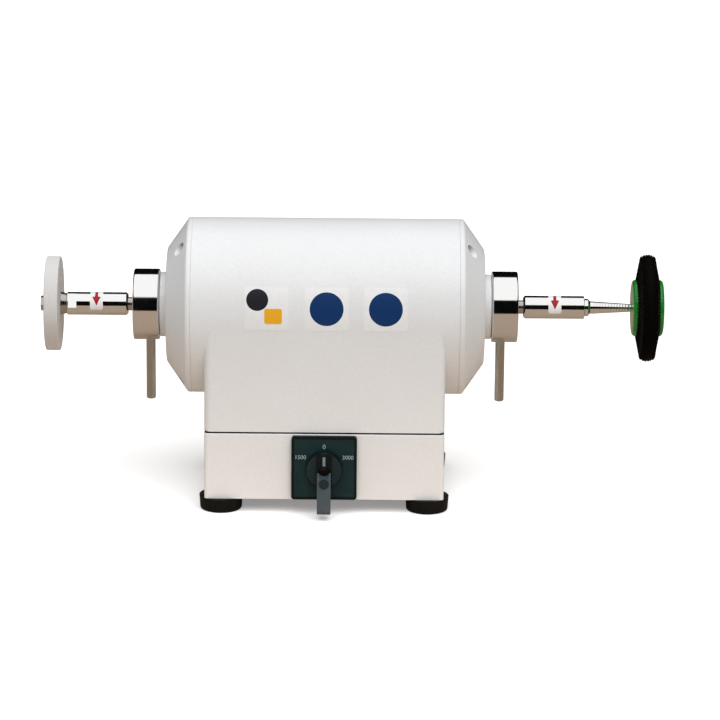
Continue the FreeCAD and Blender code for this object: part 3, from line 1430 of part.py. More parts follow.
def write_parts():
    os.makedirs("parts", exist_ok=True)
    for piece in PARTS:
        piece.Shape.exportStep(f"parts/{piece.Label}.step")


make_motor_housing()
make_end_bells()
make_bell_screws()
make_bearings()
make_bearing_washers()
make_stator()
make_rotor()
make_chuck_sleeves()
make_release_collars()
make_release_levers()
make_ejector_sleeves()
make_drifts()
make_left_tool()
make_right_tool()
make_base_box()
make_base_fittings()
make_feet()
make_switch_case()
make_switch_handle()
make_electrics()
make_cable_gland()
DOC.recompute()
check_document()
write_parts()
print(f"{len(PARTS)} pieces written")
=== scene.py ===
import json
import math
import random

import bpy
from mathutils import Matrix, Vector


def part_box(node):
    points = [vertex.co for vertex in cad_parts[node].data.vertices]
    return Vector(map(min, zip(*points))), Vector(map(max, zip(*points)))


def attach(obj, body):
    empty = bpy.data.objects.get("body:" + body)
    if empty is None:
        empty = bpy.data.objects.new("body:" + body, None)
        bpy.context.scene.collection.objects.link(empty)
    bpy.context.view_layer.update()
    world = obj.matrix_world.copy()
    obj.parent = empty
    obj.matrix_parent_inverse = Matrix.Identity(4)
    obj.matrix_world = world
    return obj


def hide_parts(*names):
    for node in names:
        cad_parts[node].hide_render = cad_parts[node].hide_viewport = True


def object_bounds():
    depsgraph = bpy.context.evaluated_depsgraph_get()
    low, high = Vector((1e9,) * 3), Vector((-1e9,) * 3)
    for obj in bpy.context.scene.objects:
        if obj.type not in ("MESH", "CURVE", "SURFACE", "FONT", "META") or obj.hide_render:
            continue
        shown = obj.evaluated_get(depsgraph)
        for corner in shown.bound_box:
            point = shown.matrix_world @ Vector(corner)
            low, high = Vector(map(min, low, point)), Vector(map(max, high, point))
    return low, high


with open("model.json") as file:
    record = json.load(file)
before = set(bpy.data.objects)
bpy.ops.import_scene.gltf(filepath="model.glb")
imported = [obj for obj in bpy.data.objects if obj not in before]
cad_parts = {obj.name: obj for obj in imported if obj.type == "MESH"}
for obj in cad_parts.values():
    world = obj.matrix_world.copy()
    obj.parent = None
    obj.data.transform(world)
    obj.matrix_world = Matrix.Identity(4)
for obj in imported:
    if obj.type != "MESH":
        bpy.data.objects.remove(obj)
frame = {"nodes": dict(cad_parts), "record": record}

# Looks of a two-ended bench polishing motor, in metres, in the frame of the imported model:
# X runs along the spindle to the right, -Y is the front and Z is up.

CAD_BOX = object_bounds()
MM = 0.001


def middle_of(node):
    low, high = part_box(node)
    return (low + high) / 2


# Places read from the frame
AXIS = middle_of("rotor_shaft")
BARREL_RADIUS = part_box("motor_housing")[1].z - AXIS.z
SWITCH = middle_of("switch_bezel")

# Sockets of the node that mixes two colours: they share their names with others, so they are found by number
MIX_COLOURS = (6, 7)
MIX_RESULT = 2

# Camera: it aims at the spindle's depth, a drop below half the height of the whole
CAMERA_DISTANCE = 2.745
CAMERA_ELEVATION = math.radians(15.5)
CAMERA_ROLL = math.radians(-0.5)
CAMERA_DROP = 4 * MM
LENS = 184
SENSOR_WIDTH = 36

# Studio: the key lamp shines from this direction, and metal sees a white ceiling above the given height.
# The floor's warm light and the table top that metal sees fade out between two distances from the middle.
WHITE = (1.0, 1.0, 1.0)
WORLD_COLOUR = (1.0, 0.99, 0.98)
WORLD_STRENGTH = 0.53
ROOM_COLOUR = (0.002, 0.002, 0.002)
CEILING_NORMAL = (0.0, -0.15, 1.0)
CEILING_EDGE = 0.709
CEILING_BLUR = 0.025
KEY_DIRECTION = (0.13, -0.52, 0.90)
KEY_STRENGTH = 2.3
KEY_ANGLE = math.radians(60)
FLOOR_HALF = 6.0
FLOOR_COLOUR = (0.93, 0.93, 0.93)
FLOOR_GLOW = 0.25
BOUNCE_COLOUR = (0.90, 0.73, 0.58)
FAR_BOUNCE_COLOUR = (0.20, 0.17, 0.15)
BOUNCE_FADE = (0.24, 0.36)
TABLE_COLOUR = (0.34, 0.265, 0.205)
TABLE_FADE = (1.05, 1.1025)

# Blank labels on the housing: their places are counted from the middle of the motor, on the spindle's level
LABEL_HALF = 16 * MM
LABEL_LEVEL = 13.8 * MM
LABEL_PLACES = (-42.5 * MM, 1.1 * MM, 44.1 * MM)
LABEL_CORNER = 1.2 * MM
LABEL_THICKNESS = 0.12 * MM
PRINT_THICKNESS = 0.03 * MM
DISC_RADIUS = 12.3 * MM
SMALL_DISC_RADIUS = 8.0 * MM
SMALL_DISC_PLACE = (-6.8 * MM, 6.4 * MM)
AMBER_HALF = (6.4 * MM, 5.6 * MM)
AMBER_PLACE = (4.8 * MM, -5.6 * MM)
AMBER_CORNER = 1.6 * MM

# Patches: the steps round their edge, and how near the points at their middle are when they become one
PATCH_STEPS = 72
MERGE_DISTANCE = 1e-7

# Labels with an arrow on the two sleeves: levels are counted up along the sleeve's surface from its front,
# and the arrow is an outline of (half width, height) from its tip up
SLEEVE_LABEL_STATION = 169.8 * MM
SLEEVE_LABEL_LEVEL = 7.0 * MM
SLEEVE_LABEL_HALF = (4.75 * MM, 9.7 * MM)
ARROW_TIP = 0.6 * MM
ARROW_OUTLINE = ((0.0, 0.0), (3.3 * MM, 6.9 * MM), (1.1 * MM, 6.95 * MM), (1.1 * MM, 12.6 * MM))

# Spiral on the tapered spindle: its section is (along in pitches, out in heights), and it fades at both ends
THREAD_PITCH = 2.1 * MM
THREAD_HEIGHT = 0.14 * MM
THREAD_START = 3.0 * MM
THREAD_ROOT_RADIUS = 4.7 * MM
THREAD_TIP_RADIUS = 2.8 * MM
THREAD_STEPS = 48
THREAD_FADE_RATE = 8
THREAD_SECTION = ((-0.40, -0.3), (-0.22, 0.6), (0.0, 1.0), (0.22, 0.6), (0.40, -0.3))

# Gasket between pedestal and base: its dark rubber lip fills the joint almost to the outside. It is partly
# the gasket's edge and partly painted shade in the joint.
LIP_INSET = 0.45 * MM
LIP_DEPTH = 1.0 * MM
LIP_CORNER = 2.4 * MM
LIP_CORNER_STEPS = 8

# Dark plastic, rubber, bristle and print shine less than other plastics. Mouldings are lighter where they are
# worn, and print is uneven, down to a shade of its colour.
DARK_SPECULAR = 0.2
BRISTLE_SPECULAR = 0.04
PRINT_SPECULAR = 0.3
WORN_GAIN = 1.4
WORN_LIFT = 0.001
PRINT_ROUGHNESS = 0.3
PRINT_SHADE = 0.88

# Brush: half its width at the hub and at the rim, its dense core, and the tufts that stand out of the core.
# The core's crown gives the share of the brush's width that is left at each radius.
BRISTLE_SEED = 7
CROWN_DROP = 1.4 * MM
BRUSH_HALF_WIDTH = 7.35 * MM
BRUSH_TIP_HALF_WIDTH = 4.7 * MM
CORE_RADII = (14.2 * MM, 20.9 * MM, 21.1 * MM, 23.0 * MM, 27.0 * MM, 31.0 * MM, 34.0 * MM, 36.4 * MM)
CORE_CROWN = ((0.85, 37.2 * MM), (0.6, 38.2 * MM), (0.3, 38.9 * MM))
CORE_OVERHANG = 0.75 * MM
CORE_RIB = 0.6 * MM
CORE_STEPS_PER_TUFT = 6
TUFT_COUNT = 56
TUFT_ROWS = (-7.3 * MM, -4.4 * MM, -1.5 * MM, 1.5 * MM, 4.4 * MM, 7.3 * MM)
TUFT_RADIUS = 0.8 * MM
TUFT_START = 21.2 * MM
TUFT_SPREAD = 1.9
BRISTLES_PER_TUFT = 12
BRISTLE_RADIUS = 0.16 * MM
BRISTLE_TAPER = 0.35
BRISTLE_STATIONS = (0.0, 0.45, 1.0)
BRISTLE_SIDES = 3
TIP_SCATTER = 0.35 * MM

# Switch: depths are counted forwards from its face plate. Each mark has a name, a text, a place across and up
# from the switch's middle, and a height.
DIAL_FACE = 6.0 * MM
GRIP_FACE = 8.6 * MM
DIAL_RADIUS = 13.5 * MM
FACE_TOLERANCE = 0.1 * MM
DIGIT_SHARE = 0.7
NUMBER_LIFT = 0.03 * MM
NUMBER_HALF_DEPTH = 0.04 * MM
NUMBER_RESOLUTION = 4
MARKS = (
    ("zero", "0", 0.0, 16.2 * MM, 3.4 * MM),
    ("low", "1500", -17.4 * MM, 8.2 * MM, 3.0 * MM),
    ("high", "3000", 17.4 * MM, 8.2 * MM, 3.0 * MM),
)
POINTER_HALF_WIDTH = 1.0 * MM
POINTER_HALF_HEIGHT = 3.5 * MM
POINTER_LEVEL = 7.6 * MM


def node_adder(tree):
    """A short way to add a node of a kind with its settings to a node tree."""

    def add(kind, **settings):
        node = tree.nodes.new(kind)
        for key, value in settings.items():
            setattr(node, key, value)
        return node

    return add


class Finish:
    """A material with a principled shader and short ways to add nodes to it."""

    def __init__(self, name, colour, roughness, metallic=0.0):
        self.material = bpy.data.materials.new(name)
        self.material.use_nodes = True
        self.tree = self.material.node_tree
        self.add = node_adder(self.tree)
        self.shader = self.tree.nodes["Principled BSDF"]
        self.set("Base Color", (*colour, 1))
        self.set("Roughness", roughness)
        self.set("Metallic", metallic)
        self.place = self.add("ShaderNodeTexCoord").outputs["Object"]

    def set(self, socket, value):
        self.shader.inputs[socket].default_value = value

    def link(self, start, end):
        self.tree.links.new(start, end)

    def stretched(self, scale):
        """The place with each axis scaled on its own."""
        mapping = self.add("ShaderNodeMapping")
        self.link(self.place, mapping.inputs["Vector"])
        mapping.inputs["Scale"].default_value = scale
        return mapping.outputs["Vector"]

    def noise(self, scale, detail=2.0, roughness=0.5, place=None):
        node = self.add("ShaderNodeTexNoise")
        self.link(place or self.place, node.inputs["Vector"])
        node.inputs["Scale"].default_value = scale
        node.inputs["Detail"].default_value = detail
        node.inputs["Roughness"].default_value = roughness
        return node.outputs["Fac"]

    def cells(self, scale):
        node = self.add("ShaderNodeTexVoronoi")
        self.link(self.place, node.inputs["Vector"])
        node.inputs["Scale"].default_value = scale
        return node.outputs["Distance"]

    def spread(self, value, low, high, start=0.3, end=0.7):
        """A value from start to end, spread from low to high."""
        node = self.add("ShaderNodeMapRange")
        self.link(value, node.inputs["Value"])
        for socket, number in (("From Min", start), ("From Max", end), ("To Min", low), ("To Max", high)):
            node.inputs[socket].default_value = number
        return node.outputs["Result"]

    def blend(self, factor, first, second):
        """Two colours, mixed by a value."""
        node = self.add("ShaderNodeMix", data_type="RGBA")
        self.link(factor, node.inputs["Factor"])
        for socket, colour in zip(MIX_COLOURS, (first, second)):
            if isinstance(colour, tuple):
                node.inputs[socket].default_value = (*colour, 1)
            else:
                self.link(colour, node.inputs[socket])
        return node.outputs[MIX_RESULT]

    def colour(self, output):
        self.link(output, self.shader.inputs["Base Color"])

    def rough(self, output):
        self.link(output, self.shader.inputs["Roughness"])

    def bump(self, height, strength, distance):
        node = self.add("ShaderNodeBump")
        node.inputs["Strength"].default_value = strength
        node.inputs["Distance"].default_value = distance
        self.link(height, node.inputs["Height"])
        before = self.shader.inputs["Normal"]
        if before.is_linked:
            self.link(before.links[0].from_socket, node.inputs["Normal"])
        self.link(node.outputs["Normal"], before)


def white_paint():
    """Off-white enamel with a fine orange peel."""
    finish = Finish("white_paint", (0.75, 0.765, 0.78), 0.42)
    finish.set("Coat Weight", 0.15)
    finish.set("Coat Roughness", 0.25)
    grain = finish.noise(420, detail=3.0, roughness=0.6)
    clouds = finish.noise(22)
    toned = finish.blend(finish.spread(clouds, 0, 1), (0.76, 0.775, 0.79), (0.745, 0.755, 0.765))
    finish.colour(finish.blend(finish.spread(grain, 0, 0.25), toned, (0.62, 0.62, 0.615)))
    finish.rough(finish.spread(grain, 0.34, 0.52))
    finish.bump(grain, strength=0.35, distance=0.0004)
    finish.bump(finish.noise(1300), strength=0.2, distance=0.0002)
    return finish.material


def polished_chrome():
    finish = Finish("polished_chrome", (0.93, 0.925, 0.92), 0.07, 1.0)
    turning = finish.noise(1.0, place=finish.stretched((5200, 14, 14)))
    smears = finish.noise(60, detail=3.0)
    finish.rough(finish.spread(smears, 0.05, 0.11))
    finish.bump(turning, strength=0.06, distance=0.00005)
    return finish.material


def turned_steel():
    finish = Finish("turned_steel", (0.56, 0.53, 0.49), 0.22, 1.0)
    turning = finish.noise(1.0, place=finish.stretched((3800, 60, 60)))
    finish.rough(finish.spread(turning, 0.16, 0.30))
    finish.colour(finish.blend(finish.noise(90, detail=3.0), (0.60, 0.57, 0.53), (0.50, 0.47, 0.43)))
    finish.bump(turning, strength=0.10, distance=0.00006)
    return finish.material


def rod_steel():
    """The levers' satin steel, ground round about their own length."""
    finish = Finish("rod_steel", (0.60, 0.58, 0.53), 0.30, 1.0)
    grinding = finish.noise(1.0, place=finish.stretched((60, 60, 3600)))
    finish.rough(finish.spread(grinding, 0.27, 0.35))
    finish.colour(finish.blend(finish.noise(90, detail=3.0), (0.62, 0.60, 0.55), (0.54, 0.52, 0.47)))
    finish.bump(grinding, strength=0.03, distance=0.00004)
    return finish.material


def plain_metal(name, colour, roughness):
    finish = Finish(name, colour, roughness, 1.0)
    mottle = finish.noise(300, detail=3.0)
    finish.rough(finish.spread(mottle, roughness - 0.08, roughness + 0.08))
    finish.bump(mottle, strength=0.08, distance=0.0001)
    return finish.material


def grey_abrasive():
    """Fine bonded grit: small grains of several greys, with open pores between them."""
    finish = Finish("grey_abrasive", (0.64, 0.635, 0.63), 0.85)
    grains = finish.cells(2600)
    patches = finish.noise(900, detail=4.0, roughness=0.65)
    pale = finish.blend(finish.spread(patches, 0, 1), (0.68, 0.675, 0.67), (0.62, 0.61, 0.60))
    finish.colour(finish.blend(finish.spread(grains, 0, 0.3, start=0.2, end=0.8), pale, (0.49, 0.475, 0.46)))
    finish.bump(grains, strength=0.3, distance=0.0002)
    finish.bump(patches, strength=0.2, distance=0.0002)
    return finish.material


def green_plastic():
    """Translucent green moulding, with faint clouds in its colour."""
    finish = Finish("green_plastic", (0.012, 0.20, 0.022), 0.15)
    finish.set("Subsurface Weight", 0.35)
    finish.set("Subsurface Radius", (0.2, 1.0, 0.35))
    finish.set("Subsurface Scale", 0.004)
    clouds = finish.noise(90)
    finish.colour(finish.blend(finish.spread(clouds, 0, 1), (0.010, 0.18, 0.018), (0.018, 0.24, 0.035)))
    finish.rough(finish.spread(clouds, 0.11, 0.19))
    finish.bump(finish.noise(500), strength=0.06, distance=0.0002)
    return finish.material


def black_bristle():
    """Stiff black bristle with a slight brown cast, streaked from hub to rim."""
    finish = Finish("black_bristle", (0.002, 0.0018, 0.0018), 0.55)
    finish.set("Specular IOR Level", BRISTLE_SPECULAR)
    shades = finish.noise(1500, detail=1.0)
    finish.colour(finish.blend(finish.spread(shades, 0, 1), (0.0015, 0.0015, 0.0015), (0.004, 0.003, 0.0025)))
    finish.rough(finish.spread(shades, 0.5, 0.7))
    finish.bump(shades, strength=0.4, distance=0.0003)
    return finish.material


def dark_moulding(name, colour, roughness, grain=1400, depth=0.12):
    """Moulded rubber or plastic with a fine spark-eroded grain."""
    finish = Finish(name, colour, roughness)
    finish.set("Specular IOR Level", DARK_SPECULAR)
    texture = finish.noise(grain, detail=3.0, roughness=0.6)
    wear = finish.noise(70, detail=3.0)
    light = tuple(min(1.0, channel * WORN_GAIN + WORN_LIFT) for channel in colour)
    finish.colour(finish.blend(finish.spread(wear, 0, 1, start=0.35, end=0.8), colour, light))
    finish.rough(finish.spread(texture, roughness - 0.08, roughness + 0.1))
    finish.bump(texture, strength=depth, distance=0.0003)
    return finish.material


def printed(name, colour):
    """Smooth vinyl or ink with a slight unevenness."""
    finish = Finish(name, colour, PRINT_ROUGHNESS)
    finish.set("Specular IOR Level", PRINT_SPECULAR)
    shade = tuple(channel * PRINT_SHADE for channel in colour)
    finish.colour(finish.blend(finish.noise(260), colour, shade))
    finish.bump(finish.noise(700), strength=0.03, distance=0.0001)
    return finish.material


def make_materials():
    return {
        "white_paint": white_paint(),
        "polished_chrome": polished_chrome(),
        "turned_steel": turned_steel(),
        "rod_steel": rod_steel(),
        "bearing_steel": plain_metal("bearing_steel", (0.62, 0.62, 0.63), 0.18),
        "fastener_steel": plain_metal("fastener_steel", (0.50, 0.50, 0.50), 0.34),
        "black_oxide": plain_metal("black_oxide", (0.05, 0.05, 0.052), 0.38),
        "core_iron": plain_metal("core_iron", (0.20, 0.20, 0.21), 0.5),
        "winding_copper": plain_metal("winding_copper", (0.55, 0.25, 0.12), 0.35),
        "cast_aluminium": plain_metal("cast_aluminium", (0.70, 0.70, 0.72), 0.4),
        "earth_brass": plain_metal("earth_brass", (0.72, 0.56, 0.28), 0.3),
        "grey_abrasive": grey_abrasive(),
        "green_plastic": green_plastic(),
        "black_bristle": black_bristle(),
        "black_rubber": dark_moulding("black_rubber", (0.005, 0.005, 0.0045), 0.6, grain=700, depth=0.3),
        "black_plastic": dark_moulding("black_plastic", (0.003, 0.006, 0.007), 0.42),
        "switch_plate_teal": dark_moulding("switch_plate_teal", (0.006, 0.024, 0.026), 0.38),
        "dial_slate": dark_moulding("dial_slate", (0.011, 0.024, 0.027), 0.42),
        # The knob's tail gets a lighter slate: a painted highlight on the black knob.
        "tail_painted_highlight": dark_moulding("tail_painted_highlight", (0.055, 0.074, 0.085), 0.42),
        "pale_plastic": dark_moulding("pale_plastic", (0.60, 0.60, 0.57), 0.45),
        "label_white": printed("label_white", (0.82, 0.83, 0.84)),
        "label_navy": printed("label_navy", (0.006, 0.036, 0.135)),
        "label_amber": printed("label_amber", (0.85, 0.42, 0.02)),
        "label_black": printed("label_black", (0.02, 0.02, 0.025)),
        "mark_red": printed("mark_red", (0.34, 0.006, 0.018)),
        "mark_pale": printed("mark_pale", (0.36, 0.44, 0.42)),
        "mark_dim": printed("mark_dim", (0.16, 0.23, 0.23)),
    }


MATERIALS = {}


def new_piece(name, vertices, faces, finish, body, slot, smooth=True):
    """A mesh piece with its finish, riding on a body."""
    mesh = bpy.data.meshes.new(name)
    mesh.from_pydata(vertices, [], faces)
    mesh.validate()
    for polygon in mesh.polygons:
        polygon.use_smooth = smooth
    mesh.materials.append(MATERIALS[finish])
    piece = bpy.data.objects.new(name, mesh)
    bpy.context.scene.collection.objects.link(piece)
    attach(piece, body)
    return piece


def on_front(across, up, lift):
    """A point on the housing's front, which is round above the spindle's level and flat below."""
    radius = BARREL_RADIUS + lift
    if up <= 0:
        return Vector((AXIS.x + across, AXIS.y - radius, AXIS.z + up))
    turn = up / BARREL_RADIUS
    return Vector((AXIS.x + across, AXIS.y - radius * math.cos(turn), AXIS.z + radius * math.sin(turn)))


def on_sleeve(radius):
    """The surface of a sleeve round the spindle's axis, up from its front."""

    def surface(across, up, lift):
        turn = up / radius
        reach = radius + lift
        return Vector((AXIS.x + across, AXIS.y - reach * math.cos(turn), AXIS.z + reach * math.sin(turn)))

    return surface


def on_plane(front):
    """An upright plane at a depth, round the switch's middle."""

    def surface(across, up, lift):
        return Vector((SWITCH.x + across, front - lift, SWITCH.z + up))

    return surface


def round_reach(radius):
    return lambda turn: radius


def box_reach(half_width, half_height, corner):
    """The reach of a rounded rectangle in each direction."""

    def reach(turn):
        x, y = abs(math.cos(turn)), abs(math.sin(turn))
        inner_x, inner_y = half_width - corner, half_height - corner
        if x * half_height > y * half_width:
            far = half_width / x
        else:
            far = half_height / y
        if far * x > inner_x and far * y > inner_y:
            along = x * inner_x + y * inner_y
            away = inner_x ** 2 + inner_y ** 2 - corner ** 2
            far = along + math.sqrt(max(along ** 2 - away, 0))
        return far

    return reach


def patch(name, surface, middle, reach, finish, body, slot, lift, thickness, rings):
    """A thin closed patch laid on a surface: a disc or a rounded box about its middle."""
    vertices = []
    faces = []
    for height in (lift + thickness, lift - thickness):
        for ring in range(rings + 1):
            share = ring / rings
            for step in range(PATCH_STEPS):
                turn = 2 * math.pi * step / PATCH_STEPS
                far = reach(turn) * share
                across = middle[0] + far * math.cos(turn)
                up = middle[1] + far * math.sin(turn)
                vertices.append(surface(across, up, height))
    layer_size = (rings + 1) * PATCH_STEPS
    for layer in (0, 1):
        for ring in range(rings):
            for step in range(PATCH_STEPS):
                following = (step + 1) % PATCH_STEPS
                low = layer * layer_size + ring * PATCH_STEPS
                high = low + PATCH_STEPS
                face = [low + step, high + step, high + following, low + following]
                faces.append(face if layer == 0 else face[::-1])
    top = rings * PATCH_STEPS
    low = layer_size + top
    for step in range(PATCH_STEPS):
        following = (step + 1) % PATCH_STEPS
        faces.append([top + step, low + step, low + following, top + following])
    piece = new_piece(name, vertices, faces, finish, body, slot, smooth=False)
    merge = piece.modifiers.new("merge", "WELD")
    merge.merge_threshold = MERGE_DISTANCE


def polygon_patch(name, surface, middle, outline, finish, body, slot, lift, thickness, rows=12):
    """A thin closed patch with a straight-sided outline, given as half its width at each height."""
    vertices = []
    faces = []
    for height in (lift + thickness, lift - thickness):
        for row in range(rows + 1):
            share = row / rows
            up = outline[0][1] + (outline[-1][1] - outline[0][1]) * share
            half = half_width_at(outline, up)
            vertices.append(surface(middle[0] - half, middle[1] + up, height))
            vertices.append(surface(middle[0] + half, middle[1] + up, height))
    size = 2 * (rows + 1)
    for row in range(rows):
        low = 2 * row
        faces.append([low, low + 1, low + 3, low + 2])
        faces.append([size + low, size + low + 2, size + low + 3, size + low + 1])
        faces.append([low, low + 2, size + low + 2, size + low])
        faces.append([low + 1, size + low + 1, size + low + 3, low + 3])
    faces.append([0, size, size + 1, 1])
    top = 2 * rows
    faces.append([top, top + 1, size + top + 1, size + top])
    new_piece(name, vertices, faces, finish, body, slot, smooth=False)


def half_width_at(outline, up):
    """Half the width of an outline of (half width, height) corners, from its bottom up."""
    for (width, height), (next_width, next_height) in zip(outline, outline[1:]):
        if height <= up <= next_height and next_height > height:
            return width + (next_width - width) * (up - height) / (next_height - height)
    return outline[-1][0]


def dress_nodes():
    """Gives each CAD node its finish."""
    slots = {item["node"]: item["material_slot"] for item in frame["record"]["subparts"]}
    special = {
        "left_release_lever": "rod_steel",
        "right_release_lever": "rod_steel",
        "taper_spindle": "polished_chrome",
        # The knob's screw is black oxide steel, and its darkness also stands in for the knob's recess as
        # painted shade.
        "switch_knob_screw": "black_oxide",
        "switch_knob_cap": "dial_slate",
    }
    for name, piece in frame["nodes"].items():
        finish = special.get(name, slots[name])
        piece.data.materials.clear()
        piece.data.materials.append(MATERIALS[finish])


def dress_knob():
    """The switch's knob is black, with a slate face on its dial and a lighter slate tail, whose paler colour
    is a painted highlight.
    """
    knob = frame["nodes"]["switch_knob"]
    for finish in ("dial_slate", "tail_painted_highlight"):
        knob.data.materials.append(MATERIALS[finish])
    dial, tail = 1, 2
    plate_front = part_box("switch_face_plate")[0].y
    for polygon in knob.data.polygons:
        place = knob.matrix_world @ polygon.center
        forwards = plate_front - place.y
        below = SWITCH.z - place.z
        # What stands out beyond the grip and below the dial gets the lighter slate, a painted highlight.
        if forwards > GRIP_FACE + FACE_TOLERANCE or below > DIAL_RADIUS + FACE_TOLERANCE:
            polygon.material_index = tail
        elif abs(forwards - DIAL_FACE) < FACE_TOLERANCE:
            polygon.material_index = dial


def make_labels():
    """Three white labels on the front, with plain coloured fields and no signs on them."""
    common = ("root", "white_paint")
    square = box_reach(LABEL_HALF, LABEL_HALF, LABEL_CORNER)
    for number, place in enumerate(LABEL_PLACES, start=1):
        middle = (place, LABEL_LEVEL)
        patch(f"label_{number}", on_front, middle, square, "label_white", *common,
              0, LABEL_THICKNESS, rings=16)
        if number > 1:
            patch(f"label_{number}_disc", on_front, middle, round_reach(DISC_RADIUS), "label_navy", *common,
                  LABEL_THICKNESS, PRINT_THICKNESS, rings=14)
    first = LABEL_PLACES[0]
    disc = (first + SMALL_DISC_PLACE[0], LABEL_LEVEL + SMALL_DISC_PLACE[1])
    patch("label_1_disc", on_front, disc, round_reach(SMALL_DISC_RADIUS), "label_black", *common,
          LABEL_THICKNESS, PRINT_THICKNESS, rings=10)
    amber = (first + AMBER_PLACE[0], LABEL_LEVEL + AMBER_PLACE[1])
    patch("label_1_amber", on_front, amber, box_reach(*AMBER_HALF, AMBER_CORNER), "label_amber", *common,
          LABEL_THICKNESS, PRINT_THICKNESS * 2, rings=10)


def make_sleeve_labels():
    """A white label with a red arrow on each sleeve."""
    for side, sign in (("left", -1), ("right", 1)):
        low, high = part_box(side + "_chuck_sleeve")
        surface = on_sleeve((high.z - low.z) / 2)
        station = SLEEVE_LABEL_STATION * sign
        common = ("rotor", "white_paint")
        patch(side + "_sleeve_label", surface, (station, SLEEVE_LABEL_LEVEL),
              box_reach(*SLEEVE_LABEL_HALF, LABEL_CORNER), "label_white", *common,
              0, LABEL_THICKNESS, rings=24)
        polygon_patch(side + "_arrow", surface, (station, ARROW_TIP), ARROW_OUTLINE, "mark_red", *common,
                      LABEL_THICKNESS, PRINT_THICKNESS, rows=60)


def make_number(name, text, height, across, up, finish, body, front):
    """Raised print on the switch plate."""
    data = bpy.data.curves.new(name, "FONT")
    data.body = text
    data.size = height / DIGIT_SHARE
    data.align_x = "CENTER"
    data.align_y = "CENTER"
    data.extrude = NUMBER_HALF_DEPTH
    data.resolution_u = NUMBER_RESOLUTION
    data.materials.append(MATERIALS[finish])
    piece = bpy.data.objects.new(name, data)
    bpy.context.scene.collection.objects.link(piece)
    piece.location = (SWITCH.x + across, front - NUMBER_LIFT, SWITCH.z + up)
    piece.rotation_euler = (math.pi / 2, 0, 0)
    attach(piece, body)


def make_switch_marks():
    """Pale numbers round the dial and a dimmer pointer on the grip."""
    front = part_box("switch_face_plate")[0].y
    for name, words, across, up, height in MARKS:
        make_number("switch_mark_" + name, words, height, across, up, "mark_pale",
                    "root", front)
    bar = ((POINTER_HALF_WIDTH, -POINTER_HALF_HEIGHT), (POINTER_HALF_WIDTH, POINTER_HALF_HEIGHT))
    polygon_patch("switch_pointer", on_plane(front - GRIP_FACE), (0, POINTER_LEVEL), bar, "mark_dim",
                  "switch_handle", "pale_plastic", 0, LABEL_THICKNESS)


def make_thread():
    """The rounded spiral ridge that a buff or brush screws onto, on the cone of the right spindle."""
    cone_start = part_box("right_chuck_sleeve")[1].x + THREAD_START
    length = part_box("brush_hub")[0].x - cone_start
    count = int(length / THREAD_PITCH * THREAD_STEPS)
    vertices = []
    for step in range(count + 1):
        share = step / count
        turn = 2 * math.pi * step / THREAD_STEPS
        radius = THREAD_ROOT_RADIUS + (THREAD_TIP_RADIUS - THREAD_ROOT_RADIUS) * share
        fade = min(1.0, THREAD_FADE_RATE * share, THREAD_FADE_RATE * (1 - share))
        for along, lift in THREAD_SECTION:
            x = cone_start + length * share + along * THREAD_PITCH
            reach = radius + lift * THREAD_HEIGHT * fade
            vertices.append((x, AXIS.y + reach * math.sin(turn), AXIS.z + reach * math.cos(turn)))
    width = len(THREAD_SECTION)
    faces = []
    for step in range(count):
        here = width * step
        there = width * (step + 1)
        for corner in range(width):
            after = (corner + 1) % width
            faces.append([here + corner, there + corner, there + after, here + after])
    faces.append(list(range(width)))
    faces.append([width * count + corner for corner in reversed(range(width))])
    new_piece("spindle_thread", vertices, faces, "polished_chrome", "right_spindle", "turned_steel")


def make_joint_shade_lip():
    """The gasket's edge, as a dark ring that follows the pedestal's outline in the joint, where it also
    stands in for the joint's shade as painted shade.
    """
    low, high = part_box("base_gasket")
    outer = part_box("base_box")
    reach_x = (outer[1].x - outer[0].x) / 2 - LIP_INSET - LIP_CORNER
    reach_y = (outer[1].y - outer[0].y) / 2 - LIP_INSET - LIP_CORNER
    centre = (outer[0] + outer[1]) / 2
    section = ((0, low.z), (0, high.z), (LIP_DEPTH, high.z), (LIP_DEPTH, low.z))
    vertices = []
    for quarter in range(4):
        side_x = 1 if quarter in (0, 3) else -1
        side_y = 1 if quarter in (0, 1) else -1
        for step in range(LIP_CORNER_STEPS + 1):
            turn = math.pi / 2 * (quarter + step / LIP_CORNER_STEPS)
            for inset, level in section:
                radius = LIP_CORNER - inset
                x = centre.x + side_x * reach_x + radius * math.cos(turn)
                y = centre.y + side_y * reach_y + radius * math.sin(turn)
                vertices.append((x, y, level))
    faces = []
    count = len(vertices) // len(section)
    for step in range(count):
        here = 4 * step
        there = 4 * ((step + 1) % count)
        for corner in range(4):
            after = (corner + 1) % 4
            faces.append([here + corner, there + corner, there + after, here + after])
    # A dark rubber ring: partly the gasket's edge, partly painted shade in the joint.
    new_piece("joint_shade_lip", vertices, faces, "black_rubber", "root", "black_rubber", smooth=False)


def brush_half_width(reach, hub_radius, rim):
    """Half the brush's width at a radius: it narrows from the hub to the rim."""
    share = min(max((reach - hub_radius) / (rim - hub_radius), 0), 1)
    return BRUSH_HALF_WIDTH + (BRUSH_TIP_HALF_WIDTH - BRUSH_HALF_WIDTH) * share


